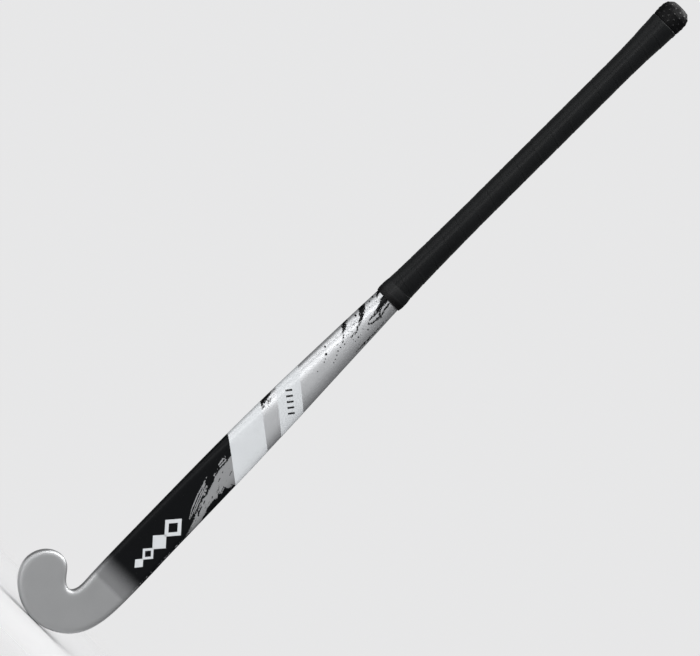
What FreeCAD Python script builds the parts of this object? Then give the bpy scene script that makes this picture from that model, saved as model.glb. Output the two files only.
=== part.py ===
import FreeCAD, Part
import math
import os

# Field hockey stick: laminated timber head and shaft, timber handle with two
# rubber shock strips, glass-fibre sleeve, painted finish, wrapped soft grip
# and rubber butt cap.
#
# Frame: millimetres. The origin is the centre of the flat on the butt end and
# the straight handle lies on the Z axis, butt up, head down. The flat playing
# face looks towards -Y, the rounded back towards +Y, the toe towards -X.

Vector = FreeCAD.Vector

# --- driving dimensions ------------------------------------------------------
STICK_LENGTH = 927.0        # butt to the bottom of the head
HANDLE_HALF_WIDTH = 11.7    # bare handle, half of its size along X
HANDLE_HALF_DEPTH = 12.7    # bare handle, half of its size along Y
SHAFT_HALF_WIDTH = 22.4     # shaft above the head, half of its size along X
HEAD_FACE_DEPTH = 9.8       # head centre plane to the playing face
HEAD_BACK_DEPTH = 10.2      # head centre plane to the crown of the back
EXP_FACE = 8.0              # squareness of the flat side's section
EXP_BACK = 2.4              # squareness of the rounded side's section
HEAD_SHAPE = (HEAD_FACE_DEPTH, HEAD_BACK_DEPTH, EXP_FACE, EXP_BACK)

BOW_START = -330.0          # the handle is straight above this height
BOW_RUN = STICK_LENGTH + BOW_START
BOW_OFFSET = 45.7           # offset along -Y that the bow would reach at the bottom
BOW_POWER = 2.2
BOW_LINE_END = -840.0       # the centre line below this height is straight

# thicknesses of the layers
PAINT = 0.15                # paint and clear lacquer
SLEEVE = 0.70               # glass-fibre sleeve
STRIP = 0.40                # reinforcement strips and splice binding
BAND = 0.08                 # white bands on top of the paint
BASE_TAPE = 0.20            # double-sided tape under the grip
GRIP = 1.50                 # cushioned grip wrap
FINISH_TAPE = 0.55          # finishing tape over the grip's lower end

# reach of the cutting blocks beyond the stick
REACH = 200.0
SIDE_REACH = 60.0
ABOVE = 50.0
BELOW = -1000.0

# --- half width of the bare stick along X: height, half width ----------------
WIDTH_TABLE = [
    (10.0, 14.0), (0.0, 14.0), (-20.0, 14.0), (-40.0, 13.6), (-60.0, 12.5), (-80.0, 11.9),
    (-100.0, HANDLE_HALF_WIDTH), (-200.0, HANDLE_HALF_WIDTH), (-300.0, HANDLE_HALF_WIDTH),
    (-340.0, 12.1), (-370.0, 12.6), (-400.0, 13.3), (-440.0, 15.0), (-460.0, 15.9),
    (-500.0, 17.4), (-540.0, 18.9), (-580.0, 20.3), (-620.0, 21.3), (-660.0, 22.0),
    (-700.0, 22.3), (-740.0, SHAFT_HALF_WIDTH), (-780.0, 22.55), (-820.0, 22.8),
    (-1000.0, 22.8),
]
# --- height, face depth, back depth, face squareness, back squareness --------
DEPTH_TABLE = [
    (10.0, 14.2, 14.2, 2.1, 2.1), (0.0, 14.2, 14.2, 2.1, 2.1), (-20.0, 14.2, 14.2, 2.1, 2.1),
    (-40.0, 14.0, 14.0, 2.1, 2.1), (-60.0, 13.2, 13.2, 2.1, 2.1),
    (-100.0, HANDLE_HALF_DEPTH, HANDLE_HALF_DEPTH, 2.15, 2.1),
    (-340.0, HANDLE_HALF_DEPTH, HANDLE_HALF_DEPTH, 2.15, 2.1),
    (-400.0, 12.9, 12.9, 2.2, 2.1), (-440.0, 12.7, 12.8, 2.25, 2.1),
    (-500.0, 12.3, 12.5, 2.4, 2.15), (-560.0, 11.7, 12.0, 2.75, 2.2),
    (-620.0, 11.0, 11.6, 3.4, 2.25), (-680.0, 10.4, 11.15, 4.9, 2.3),
    (-740.0, 10.0, 10.75, 7.2, 2.35), (-790.0, 9.85, 10.45, EXP_FACE, EXP_BACK),
    (-850.0, *HEAD_SHAPE), (-1000.0, *HEAD_SHAPE),
]
# --- heights of the shaft's cross-sections -----------------------------------
SHAFT_ROWS = [
    0.0, -8.0, -17.0, -27.0, -38.0, -50.0, -63.0, -77.0, -92.0, -110.0, -132.0, -158.0, -186.0,
    -214.0, -242.0, -270.0, -297.0, -323.0, -348.0, -372.0, -395.0, -417.0, -438.0, -459.0,
    -480.0, -501.0, -522.0, -543.0, -564.0, -585.0, -606.0, -627.0, -648.0, -669.0, -690.0,
    -710.0, -730.0, -750.0, -768.0, -785.0,
]
# --- cross-sections of the hooked head ---------------------------------------
# x and z on the inside of the hook, x and z on the outside, then the angle
# inside the rounded toe: 0 where it starts, 90 at its tip, None before it.
HEAD_ROWS = [
    (-22.66, -800.00, 22.81, -800.00, None),
    (-22.71, -813.00, 22.90, -809.50, None),
    (-22.70, -825.00, 22.93, -818.50, None),
    (-22.62, -836.00, 22.91, -827.00, None),
    (-22.48, -845.50, 22.83, -834.50, None),
    (-22.33, -853.20, 22.71, -841.50, None),
    (-22.17, -859.20, 22.54, -848.00, None),
    (-22.14, -863.60, 22.32, -854.00, None),
    (-22.32, -866.70, 22.00, -859.70, None),
    (-22.63, -868.80, 21.56, -865.20, None),
    (-22.94, -870.20, 21.15, -869.00, None),
    (-23.31, -871.43, 20.61, -872.96, None),
    (-23.58, -872.20, 19.52, -879.03, None),
    (-23.88, -872.93, 18.07, -884.95, None),
    (-24.21, -873.62, 16.16, -890.75, None),
    (-24.56, -874.28, 13.73, -896.39, None),
    (-24.95, -874.93, 10.68, -901.78, None),
    (-25.39, -875.56, 6.97, -906.80, None),
    (-25.88, -876.16, 2.62, -911.35, None),
    (-26.45, -876.71, -2.31, -915.35, None),
    (-27.21, -877.25, -8.51, -919.25, None),
    (-28.06, -877.63, -15.22, -922.40, None),
    (-28.97, -877.81, -22.37, -924.75, None),
    (-29.90, -877.83, -29.90, -926.15, None),
    (-30.81, -877.71, -37.66, -926.40, None),
    (-31.70, -877.49, -45.45, -925.41, None),
    (-32.56, -877.18, -53.06, -923.22, None),
    (-33.40, -876.81, -60.32, -919.88, None),
    (-34.23, -876.36, -67.07, -915.50, None),
    (-35.06, -875.84, -73.17, -910.16, None),
    (-36.00, -875.16, -78.35, -903.88, None),
    (-37.08, -874.25, -81.48, -898.28, None),
    (-38.24, -873.12, -83.18, -893.49, None),
    (-39.45, -871.79, -83.89, -889.75, 0),
    (-41.42, -869.39, -84.08, -886.62, 8),
    (-43.28, -866.99, -83.90, -883.41, 16),
    (-45.12, -864.72, -83.34, -880.16, 24),
    (-47.03, -862.66, -82.41, -876.95, 32),
    (-49.14, -860.91, -81.15, -873.84, 40),
    (-51.51, -859.56, -79.56, -870.89, 48),
    (-54.12, -858.64, -77.67, -868.15, 56),
    (-56.57, -858.20, -75.78, -865.96, 63),
    (-59.13, -858.11, -73.66, -863.99, 70),
    (-61.38, -858.32, -71.69, -862.48, 76),
    (-63.27, -858.68, -69.95, -861.38, 81),
    (-64.79, -859.10, -68.51, -860.60, 85),
    (-65.92, -859.48, -67.41, -860.09, 88),
    (-66.68, -859.78, -66.68, -859.78, 90),
]
TOE_CENTRE = (-61.0, -880.5)
TOE_RADIUS = 21.8
TOE_DIRECTION = math.radians(112.0)   # in the XZ plane, from +X towards +Z


# --- centre line and stations ------------------------------------------------
def read_table(rows, z, column):
    """Monotone cubic reading of a table whose first column falls."""
    last = len(rows) - 1
    if z >= rows[0][0]:
        return rows[0][column]
    if z <= rows[last][0]:
        return rows[last][column]
    k = 0
    while rows[k + 1][0] > z:
        k += 1

    def step(i):
        return rows[i + 1][0] - rows[i][0]

    def secant(i):
        return (rows[i + 1][column] - rows[i][column]) / step(i)

    def slope(i):
        if i == 0 or i == last:
            return 0.0
        before, after = secant(i - 1), secant(i)
        if before * after <= 0:
            return 0.0
        weight_before = 2 * step(i) + step(i - 1)
        weight_after = step(i) + 2 * step(i - 1)
        return (weight_before + weight_after) / (weight_before / before + weight_after / after)

    t = (z - rows[k][0]) / step(k)
    return ((2 * t ** 3 - 3 * t * t + 1) * rows[k][column]
            + (t ** 3 - 2 * t * t + t) * slope(k) * step(k)
            + (-2 * t ** 3 + 3 * t * t) * rows[k + 1][column]
            + (t ** 3 - t * t) * slope(k + 1) * step(k))


def bow_curve(z):
    return -BOW_OFFSET * (max(BOW_START - z, 0.0) / BOW_RUN) ** BOW_POWER


BOW_SLOPE = (BOW_OFFSET * BOW_POWER
             * ((BOW_START - BOW_LINE_END) / BOW_RUN) ** (BOW_POWER - 1) / BOW_RUN)


def bow(z):
    """Y of the stick's centre line at height z."""
    if z >= BOW_LINE_END:
        return bow_curve(z)
    return bow_curve(BOW_LINE_END) + BOW_SLOPE * (z - BOW_LINE_END)


def shape_at(z):
    """Face depth, back depth and the two squarenesses at height z."""
    return tuple(read_table(DEPTH_TABLE, z, column) for column in (1, 2, 3, 4))


def shaft_station(z):
    """Inner point, outer point, toe angle and shape of a level section."""
    half_width = read_table(WIDTH_TABLE, z, 1)
    return (-half_width, z), (half_width, z), None, shape_at(z)


def head_station(x_in, z_in, x_out, z_out, toe_angle):
    shape = shape_at((z_in + z_out) / 2) if toe_angle is None else HEAD_SHAPE
    return (x_in, z_in), (x_out, z_out), toe_angle, shape


# --- cross-sections ----------------------------------------------------------
SIDE_POINTS = 18            # points of a section on each of its two sides
SIDE_SAMPLES = 240          # fine steps from which they are picked
TURN_WEIGHT = 6.0           # length that one radian of turning counts for
TURN_LIMIT = 0.5            # most turning counted in one fine step


def side_points(depth, exponent, half_chord, toe_share):
    """Half of a section as (x, y), x from -1 to 1, denser where it turns."""
    fine = []
    for i in range(SIDE_SAMPLES + 1):
        cosine = math.cos(math.pi * i / SIDE_SAMPLES)
        x = -math.copysign(abs(cosine) ** (2.0 / exponent), cosine)
        rho = toe_share + (1.0 - toe_share) * x * x
        y = depth * max(0.0, 1.0 - rho ** (exponent / 2.0)) ** (1.0 / exponent)
        fine.append((x, y))

    travel = [0.0]
    heading = None
    for start, end in zip(fine, fine[1:]):
        dx, dy = half_chord * (end[0] - start[0]), end[1] - start[1]
        length = math.hypot(dx, dy)
        turn = 0.0
        if length > 1e-9:
            new_heading = math.atan2(dy, dx)
            if heading is not None:
                turn = abs(new_heading - heading)
            heading = new_heading
        travel.append(travel[-1] + length + TURN_WEIGHT * min(turn, TURN_LIMIT))

    picked = []
    j = 0
    for i in range(SIDE_POINTS):
        target = travel[-1] * i / SIDE_POINTS
        while j < SIDE_SAMPLES - 1 and travel[j + 1] < target:
            j += 1
        part = (target - travel[j]) / max(travel[j + 1] - travel[j], 1e-12)
        (x0, y0), (x1, y1) = fine[j], fine[j + 1]
        picked.append((x0 + part * (x1 - x0), y0 + part * (y1 - y0)))
    return picked


def section(station, inset):
    """Closed ring of points of one cross-section, drawn in by inset all round."""
    (x_in, z_in), (x_out, z_out), toe_angle, shape = station
    face_depth, back_depth, face_exponent, back_exponent = shape
    if toe_angle is None:
        run_x, run_z = x_out - x_in, z_out - z_in
        chord = math.hypot(run_x, run_z)
        step_x, step_z = inset * (run_x / chord), inset * (run_z / chord)
        x_in, z_in = x_in + step_x, z_in + step_z
        x_out, z_out = x_out - step_x, z_out - step_z
        toe_share = 0.0
    else:
        scale = 1.0 - inset / TOE_RADIUS
        toe_x, toe_z = TOE_CENTRE
        x_in, z_in = toe_x + (x_in - toe_x) * scale, toe_z + (z_in - toe_z) * scale
        x_out, z_out = toe_x + (x_out - toe_x) * scale, toe_z + (z_out - toe_z) * scale
        toe_share = math.sin(math.radians(toe_angle)) ** 2
    mid_x, mid_z = (x_in + x_out) / 2, (z_in + z_out) / 2
    half_x, half_z = (x_out - x_in) / 2, (z_out - z_in) / 2
    if toe_angle == 90:
        return [Vector(mid_x, bow(mid_z), mid_z)] * (2 * SIDE_POINTS)
    half_chord = math.hypot(half_x, half_z)
    face = side_points(face_depth - inset, face_exponent, half_chord, toe_share)
    back = side_points(back_depth - inset, back_exponent, half_chord, toe_share)
    ring = [(x, -y) for x, y in face] + [(-x, y) for x, y in back]
    return [Vector(mid_x + x * half_x, bow(mid_z + x * half_z) + y, mid_z + x * half_z)
            for x, y in ring]


# --- skins through rings of points -------------------------------------------
def periodic_poles(points):
    """Poles of the closed uniform cubic through the points, by iteration."""
    count = len(points)
    poles = list(points)
    for _ in range(26):
        poles = [(points[i] * 6 - poles[i - 1] - poles[(i + 1) % count]) * 0.25
                 for i in range(count)]
    return poles


def clamped_poles(points):
    """Poles of the open uniform cubic through the points, free ends."""
    last = len(points) - 1
    # tridiagonal system for the tangents, with ones beside the diagonal
    diagonal = [2.0] + [4.0] * (last - 1) + [2.0]
    right = ([(points[1] - points[0]) * 3]
             + [(points[i + 1] - points[i - 1]) * 3 for i in range(1, last)]
             + [(points[last] - points[last - 1]) * 3])
    for i in range(1, last + 1):
        factor = 1.0 / diagonal[i - 1]
        diagonal[i] -= factor
        right[i] = right[i] - right[i - 1] * factor
    tangents = [None] * last + [right[last] * (1.0 / diagonal[last])]
    for i in range(last - 1, -1, -1):
        tangents[i] = (right[i] - tangents[i + 1]) * (1.0 / diagonal[i])

    ahead = [point + tangent * (1 / 3) for point, tangent in zip(points, tangents)]
    behind = [point - tangent * (1 / 3) for point, tangent in zip(points, tangents)]
    inner = [ahead[i] * 2 - behind[i + 1] for i in range(1, last)]
    return [points[0], ahead[0]] + inner + [behind[last], points[last]]


def skin_solid(rings, has_tip):
    """Closed solid through rings; flat first ring, and a flat last ring or a tip."""
    count, columns = len(rings), len(rings[0])
    closed_rows = [periodic_poles(ring) for ring in rings]
    lines = [clamped_poles(list(column)) for column in zip(*closed_rows)]
    poles = [list(row) for row in zip(*lines)]
    knots_along = [float(i) for i in range(count)]
    knots_around = [float(i) for i in range(columns + 1)]
    surface = Part.BSplineSurface()
    surface.buildFromPolesMultsKnots(
        poles, [4] + [1] * (count - 2) + [4], [1] * (columns + 1),
        knots_along, knots_around, False, True, 3, 3)
    faces = [surface.toShape()]
    for k in ([0] if has_tip else [0, count - 1]):
        edge = surface.uIso(knots_along[k]).toShape()
        faces.append(Part.Face(Part.Wire([edge])))
    shell = Part.Shell(faces)
    if not shell.isClosed():
        sewn = Part.Compound(faces)
        sewn.sewShape()
        shell = sewn.Shells[0]
    solid = Part.Solid(shell)
    if solid.Volume < 0:
        solid.reverse()
    return solid


# --- general helpers ---------------------------------------------------------
def slab(bottom, top, x_min=-REACH, x_max=REACH):
    """Block between two heights."""
    return Part.makeBox(x_max - x_min, 2 * REACH, top - bottom, Vector(x_min, -REACH, bottom))


def prism(outline):
    """Outline of (x, z) points run right through the stick along Y."""
    points = [Vector(x, -REACH, z) for x, z in outline]
    return Part.Face(Part.makePolygon(points + [points[0]])).extrude(Vector(0, 2 * REACH, 0))


def join(solids):
    return solids[0] if len(solids) == 1 else Part.Compound(solids)


def clean(shape, least=0.5):
    """The solids of a shape, those below the least volume left out."""
    return join([solid for solid in shape.Solids if abs(solid.Volume) > least])


def save(name, shape):
    shape.exportStep("parts/%s.step" % name)


os.makedirs("parts", exist_ok=True)

# --- nested bodies -----------------------------------------------------------
FACE_FLAT = 0.08            # how far the face plane lies inside the rounded face
FACE_CLEARANCE = 0.9        # the cutter stands this far off above the flat
FLAT_START = -660.0         # the flat of the playing face begins below this height
FLAT_RUN = 70.0             # and is complete this far further down
CUTTER_ROWS = [-600.0, -620.0, -640.0, -660.0, -680.0, -700.0, -715.0, -730.0, -760.0,
               -790.0, -815.0, BOW_LINE_END]
CUTTER_BOTTOM = -960.0
CUTTER_REACH = 150.0        # towards -Y, and to each side


def face_cutter(inset):
    """Big block in front of the playing face, its back wall on the face."""
    points = []
    for z in CUTTER_ROWS:
        fade = min(1.0, max(0.0, (FLAT_START - z) / FLAT_RUN))
        fade = fade * fade * (3 - 2 * fade)
        lift = FACE_FLAT * fade - FACE_CLEARANCE * (1 - fade)
        depth = HEAD_FACE_DEPTH if z == BOW_LINE_END else read_table(DEPTH_TABLE, z, 1)
        points.append(Vector(0, bow(z) - (depth - inset) + lift, z))
    curve = Part.BSplineCurve()
    curve.interpolate(points)
    end_y = bow(CUTTER_BOTTOM) - (HEAD_FACE_DEPTH - inset) + FACE_FLAT
    corners = [points[-1], Vector(0, end_y, CUTTER_BOTTOM),
               Vector(0, -CUTTER_REACH, CUTTER_BOTTOM),
               Vector(0, -CUTTER_REACH, CUTTER_ROWS[0]), points[0]]
    lines = [Part.makeLine(start, end) for start, end in zip(corners, corners[1:])]
    face = Part.Face(Part.Wire([curve.toShape()] + lines))
    face.translate(Vector(-CUTTER_REACH, 0, 0))
    return face.extrude(Vector(2 * CUTTER_REACH, 0, 0))


def body(inset):
    """Whole stick without grip, drawn in by inset, flat playing face cut."""
    stations = [shaft_station(z) for z in SHAFT_ROWS] + [head_station(*row) for row in HEAD_ROWS]
    rings = [section(station, inset) for station in stations]
    return clean(skin_solid(rings, True).cut(face_cutter(inset)))


outer = body(0.0)                                  # painted surface
under_paint = body(PAINT)                          # sleeve surface
under_sleeve = body(PAINT + SLEEVE)                # timber surface
under_strip = body(PAINT + SLEEVE + STRIP)         # timber below the strips

WOOD_TOP = -7.5             # top of the timber and sleeve, under the butt cap
above_wood = slab(WOOD_TOP, ABOVE)

# --- reinforcement strips and splice binding, let into the timber ------------
BINDING_TOP = -404.0
BINDING_BOTTOM = -598.0
STRIP_TOP = -600.0
STRIP_BOTTOM = -892.0
STRIP_HALF_WIDTH = 11.0

inlay = under_sleeve.cut(under_strip)
binding = clean(inlay.common(slab(BINDING_BOTTOM, BINDING_TOP)))
strips = inlay.common(prism([
    (-STRIP_HALF_WIDTH, STRIP_TOP), (STRIP_HALF_WIDTH, STRIP_TOP),
    (STRIP_HALF_WIDTH, STRIP_BOTTOM), (-STRIP_HALF_WIDTH, STRIP_BOTTOM)]))
strips_by_y = sorted(strips.Solids, key=lambda solid: solid.CenterOfMass.y)
face_strip, back_strip = strips_by_y[0], strips_by_y[-1]
save("splice_binding", binding)
save("face_reinforcement_strip", face_strip)
save("back_reinforcement_strip", back_strip)

timber = clean(under_sleeve.cut([binding, face_strip, back_strip, above_wood]))

# --- handle: centre stave, two rubber strips, two side staves ----------------
SPLICE_TOP = -420.0         # the handle wedge reaches its full width here
SPLICE_TIP = -570.0         # point of the handle wedge inside the shaft
WEDGE_HALF = 12.6           # half width of the wedge at its top
WEDGE_CEILING = 40.0
STAVE_HALF = 4.0            # half thickness of the centre stave
RUBBER = 1.6                # thickness of each rubber strip
RUBBER_OUTER = STAVE_HALF + RUBBER
STAVE_SLAB_BOTTOM = -700.0
STAVES = [                  # name, x from, x to
    ("handle_centre_stave", -STAVE_HALF, STAVE_HALF),
    ("rubber_strip_toe_side", -RUBBER_OUTER, -STAVE_HALF),
    ("rubber_strip_heel_side", STAVE_HALF, RUBBER_OUTER),
    ("handle_side_stave_toe_side", -SIDE_REACH, -RUBBER_OUTER),
    ("handle_side_stave_heel_side", RUBBER_OUTER, SIDE_REACH),
]

wedge = prism([
    (0, SPLICE_TIP), (WEDGE_HALF, SPLICE_TOP), (SIDE_REACH, SPLICE_TOP),
    (SIDE_REACH, WEDGE_CEILING), (-SIDE_REACH, WEDGE_CEILING), (-SIDE_REACH, SPLICE_TOP),
    (-WEDGE_HALF, SPLICE_TOP)])
handle = timber.common(wedge)
for name, x_min, x_max in STAVES:
    save(name, clean(handle.common(slab(STAVE_SLAB_BOTTOM, ABOVE, x_min, x_max))))

# --- seven bent laminae of the head and shaft --------------------------------
PLY_COUNT = 7
PLY = 6.6                   # thickness of each lamina
LAMINA_TOP = -517.0         # the two outermost laminae end at this height
LEAST_PIECE = 1.0           # smaller pieces of the split timber are left out
PROBE_HEIGHT = -700.0       # each lamina is found by a point at this height
PROBE_SCALE = 0.985         # with its x drawn in slightly
GLUE_SHAFT_ROWS = [-380.0, -420.0, -480.0, -540.0, -600.0, -650.0, -700.0, -740.0, -768.0, -785.0]
GLUE_TAIL = [3.0, 8.0, 15.0, 25.0, 40.0, 60.0]   # distances past the toe's start
GLUE_FRONT = -150.0
GLUE_WIDTH = 250.0


def glue_line(x_shaft):
    """Sheet between two laminae: straight down the shaft, round the hook, out of the toe."""
    x_first_in, x_first_out = HEAD_ROWS[0][0], HEAD_ROWS[0][2]
    share = (x_shaft - x_first_in) / (x_first_out - x_first_in)
    points = [(x_shaft, z) for z in GLUE_SHAFT_ROWS]
    for x_in, z_in, x_out, z_out, toe_angle in HEAD_ROWS:
        if toe_angle is None or toe_angle == 0:
            points.append((x_in + share * (x_out - x_in), z_in + share * (z_out - z_in)))
    x, z = points[-1]
    points += [(x + math.cos(TOE_DIRECTION) * run, z + math.sin(TOE_DIRECTION) * run)
               for run in GLUE_TAIL]
    curve = Part.BSplineCurve()
    curve.interpolate([Vector(x, GLUE_FRONT, z) for x, z in points])
    return curve.toShape().extrude(Vector(0, GLUE_WIDTH, 0))


def split_laminae(blank):
    """Lists of the solids of each lamina, from the toe side to the heel side."""
    middle = (PLY_COUNT - 1) / 2
    sheets = [glue_line(PLY * (k - middle + 0.5)) for k in range(PLY_COUNT - 1)]
    pieces, _ = blank.generalFuse(sheets)
    probes = [Vector(PLY * (k - middle) * PROBE_SCALE, bow(PROBE_HEIGHT), PROBE_HEIGHT)
              for k in range(PLY_COUNT)]
    laminae = [[] for _ in range(PLY_COUNT)]
    for piece in pieces.Solids:
        if piece.Volume <= LEAST_PIECE:
            continue
        matches = [k for k in range(PLY_COUNT) if piece.isInside(probes[k], 1e-4, True)]
        if matches:
            laminae[matches[-1]].append(piece)
    for k in (0, PLY_COUNT - 1):
        laminae[k] = [part for piece in laminae[k]
                      for part in piece.common(slab(BELOW, LAMINA_TOP)).Solids
                      if part.Volume > LEAST_PIECE]
    return laminae


for k, lamina in enumerate(split_laminae(clean(timber.cut(wedge)))):
    save("head_lamina_%d" % (k + 1), join(lamina))

# --- glass-fibre sleeve and painted finish -----------------------------------
GRIP_BOTTOM = -418.0        # lower end of the grip wrap, upper end of the paint

save("glass_fibre_sleeve", clean(under_paint.cut(under_sleeve).cut(above_wood)))
save("painted_finish", clean(outer.cut(under_paint).common(slab(BELOW, GRIP_BOTTOM))))

# --- white bands: z of the upper and lower edges at x = 0, fall per mm of x --
LOWER_BAND = (-616.5, -664.7, 0.745)
UPPER_BAND = (-561.9, -595.1, 0.79)

band_surface = body(-BAND)
film = band_surface.cut(outer)


def band(top, bottom, fall):
    rise = fall * SIDE_REACH
    return clean(film.common(prism([
        (-SIDE_REACH, top + rise), (SIDE_REACH, top - rise),
        (SIDE_REACH, bottom - rise), (-SIDE_REACH, bottom + rise)])), 0.1)


save("white_band_lower", band(*LOWER_BAND))
save("white_band_upper", band(*UPPER_BAND))

# --- marks on the playing-face side ------------------------------------------
# diamonds in a row down the shaft: z, half width, half height, open
DIAMONDS = [
    (-757.0, 11.5, 13.0, True), (-777.5, 9.5, 10.5, False),
    (-794.5, 7.5, 8.5, True), (-808.0, 5.5, 6.5, False),
]
DIAMOND_X = 4.5
DIAMOND_OPENING = 0.55      # size of the opening relative to the diamond
# slanted dashes along the upper band
DASH_COUNT = 5
DASH_START = -9.5
DASH_PITCH = 4.8
DASH_OUTLINE = [(-3.0, -2.2), (-1.4, -3.4), (3.0, 2.2), (1.4, 3.4)]   # x, z from its centre


def face_piece(layer, cutter):
    """The piece of a layer inside the cutter that lies furthest towards -Y."""
    return min(layer.common(cutter).Solids, key=lambda solid: solid.CenterOfMass.y)


def diamond(z, half_width, half_height):
    return prism([(DIAMOND_X - half_width, z), (DIAMOND_X, z + half_height),
                  (DIAMOND_X + half_width, z), (DIAMOND_X, z - half_height)])


def diamond_marks():
    marks = []
    for z, half_width, half_height, is_open in DIAMONDS:
        cutter = diamond(z, half_width, half_height)
        if is_open:
            cutter = cutter.cut(diamond(z, half_width * DIAMOND_OPENING,
                                        half_height * DIAMOND_OPENING))
        marks.append(face_piece(film, cutter))
    return Part.Compound(marks)


def dash_marks():
    """Dashes in a second film, on top of the white band."""
    top_film = body(-2 * BAND).cut(band_surface)
    top, bottom, fall = UPPER_BAND
    dashes = []
    for k in range(DASH_COUNT):
        x = DASH_START + DASH_PITCH * k
        z = (top + bottom) / 2 - fall * x
        dashes.append(face_piece(top_film, prism([(x + dx, z + dz) for dx, dz in DASH_OUTLINE])))
    return Part.Compound(dashes)


save("plain_diamond_marks", diamond_marks())
save("band_dash_marks", dash_marks())

# --- grip --------------------------------------------------------------------
CAP_SKIRT = -24.0           # lower rim of the butt cap
GRIP_TOP = CAP_SKIRT - 0.3  # small gap below the cap
GRIP_STEP = 14.0            # spacing of the sections
TAPE_TOP = -414.0           # finishing tape, upper edge
TAPE_BOTTOM = -432.0        # finishing tape, lower edge
TAPE_STEP = 4.0


def handle_solid(inset, top, bottom, step):
    """Solid of the handle's section drawn in by inset between two heights."""
    count = round((top - bottom) / step)
    heights = [top + (bottom - top) * i / count for i in range(count + 1)]
    return skin_solid([section(shaft_station(z), inset) for z in heights], False)


base_tape = handle_solid(PAINT - BASE_TAPE, GRIP_TOP, GRIP_BOTTOM, GRIP_STEP)
grip = handle_solid(PAINT - BASE_TAPE - GRIP, GRIP_TOP, GRIP_BOTTOM, GRIP_STEP)
finishing_tape = handle_solid(PAINT - BASE_TAPE - GRIP - FINISH_TAPE,
                              TAPE_TOP, TAPE_BOTTOM, TAPE_STEP)
save("grip_base_tape", clean(base_tape.cut(under_paint)))
save("grip_wrap", clean(grip.cut(base_tape)))
save("grip_finishing_tape", clean(finishing_tape.cut(grip).cut(outer)))

# --- butt cap ----------------------------------------------------------------
CAP_RADIUS = 16.6           # barrel of the butt cap
CAP_FLAT = 6.0              # radius of the flat in the middle of the butt
# radius and z down the outside, from the edge of the flat to the skirt
CAP_PROFILE = [
    (CAP_FLAT, 0), (9.6, -1.0), (12.6, -3.2), (14.9, -6.0), (CAP_RADIUS, -10.5),
    (CAP_RADIUS, -20.8), (CAP_RADIUS - 0.15, -22.8), (CAP_RADIUS - 0.7, CAP_SKIRT),
]


def butt_cap():
    """Turned cap, hollowed to fit over the top of the sleeve."""
    points = [Vector(radius, 0, z) for radius, z in CAP_PROFILE]
    centre, skirt_centre = Vector(0, 0, 0), Vector(0, 0, CAP_SKIRT)
    edges = [
        Part.makeLine(centre, points[0]),
        Part.Arc(*points[0:3]).toShape(),
        Part.Arc(*points[2:5]).toShape(),
        Part.makeLine(points[4], points[5]),
        Part.Arc(*points[5:8]).toShape(),
        Part.makeLine(points[7], skirt_centre),
        Part.makeLine(skirt_centre, centre),
    ]
    turned = Part.Face(Part.Wire(edges)).revolve(centre, Vector(0, 0, 1), 360)
    return clean(turned.cut(clean(under_paint.cut(above_wood))))


save("butt_cap", butt_cap())
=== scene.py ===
# A field hockey stick, upright: the butt cap's top is at z = 0 and the shaft runs down -Z.
# The playing face looks along -Y, the way the lower shaft bows, and the head hooks towards
# the toe side, -X. Lengths are in millimetres until add_piece turns them into metres.
import math
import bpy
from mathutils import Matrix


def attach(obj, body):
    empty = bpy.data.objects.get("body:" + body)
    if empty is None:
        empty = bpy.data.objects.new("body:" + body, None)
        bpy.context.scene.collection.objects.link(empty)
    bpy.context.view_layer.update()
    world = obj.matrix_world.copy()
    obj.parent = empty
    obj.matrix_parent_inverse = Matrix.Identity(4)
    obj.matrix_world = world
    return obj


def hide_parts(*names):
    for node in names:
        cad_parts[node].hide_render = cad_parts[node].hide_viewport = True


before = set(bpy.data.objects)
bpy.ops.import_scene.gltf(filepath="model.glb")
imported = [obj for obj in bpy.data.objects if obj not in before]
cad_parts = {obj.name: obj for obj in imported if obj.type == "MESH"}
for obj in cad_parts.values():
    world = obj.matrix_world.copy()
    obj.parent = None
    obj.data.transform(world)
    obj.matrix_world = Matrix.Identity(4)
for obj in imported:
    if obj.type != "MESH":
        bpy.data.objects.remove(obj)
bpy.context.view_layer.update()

from types import SimpleNamespace

import bmesh
import bpy
import numpy as np
from mathutils import Matrix, Vector

MM = 0.001
TURN = 2 * math.pi

# ---------------------------------------------------------------------------
# Form of the stick
# ---------------------------------------------------------------------------
# height, half width
WIDTH_TABLE = [
    (10.0, 14.0), (0.0, 14.0), (-20.0, 14.0), (-40.0, 13.6), (-60.0, 12.5), (-80.0, 11.9),
    (-100.0, 11.7), (-200.0, 11.7), (-300.0, 11.7), (-340.0, 12.1), (-370.0, 12.6),
    (-400.0, 13.3), (-440.0, 15.0), (-460.0, 15.9), (-500.0, 17.4), (-540.0, 18.9),
    (-580.0, 20.3), (-620.0, 21.3), (-660.0, 22.0), (-700.0, 22.3), (-740.0, 22.4),
    (-780.0, 22.55), (-820.0, 22.8), (-1000.0, 22.8),
]
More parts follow.
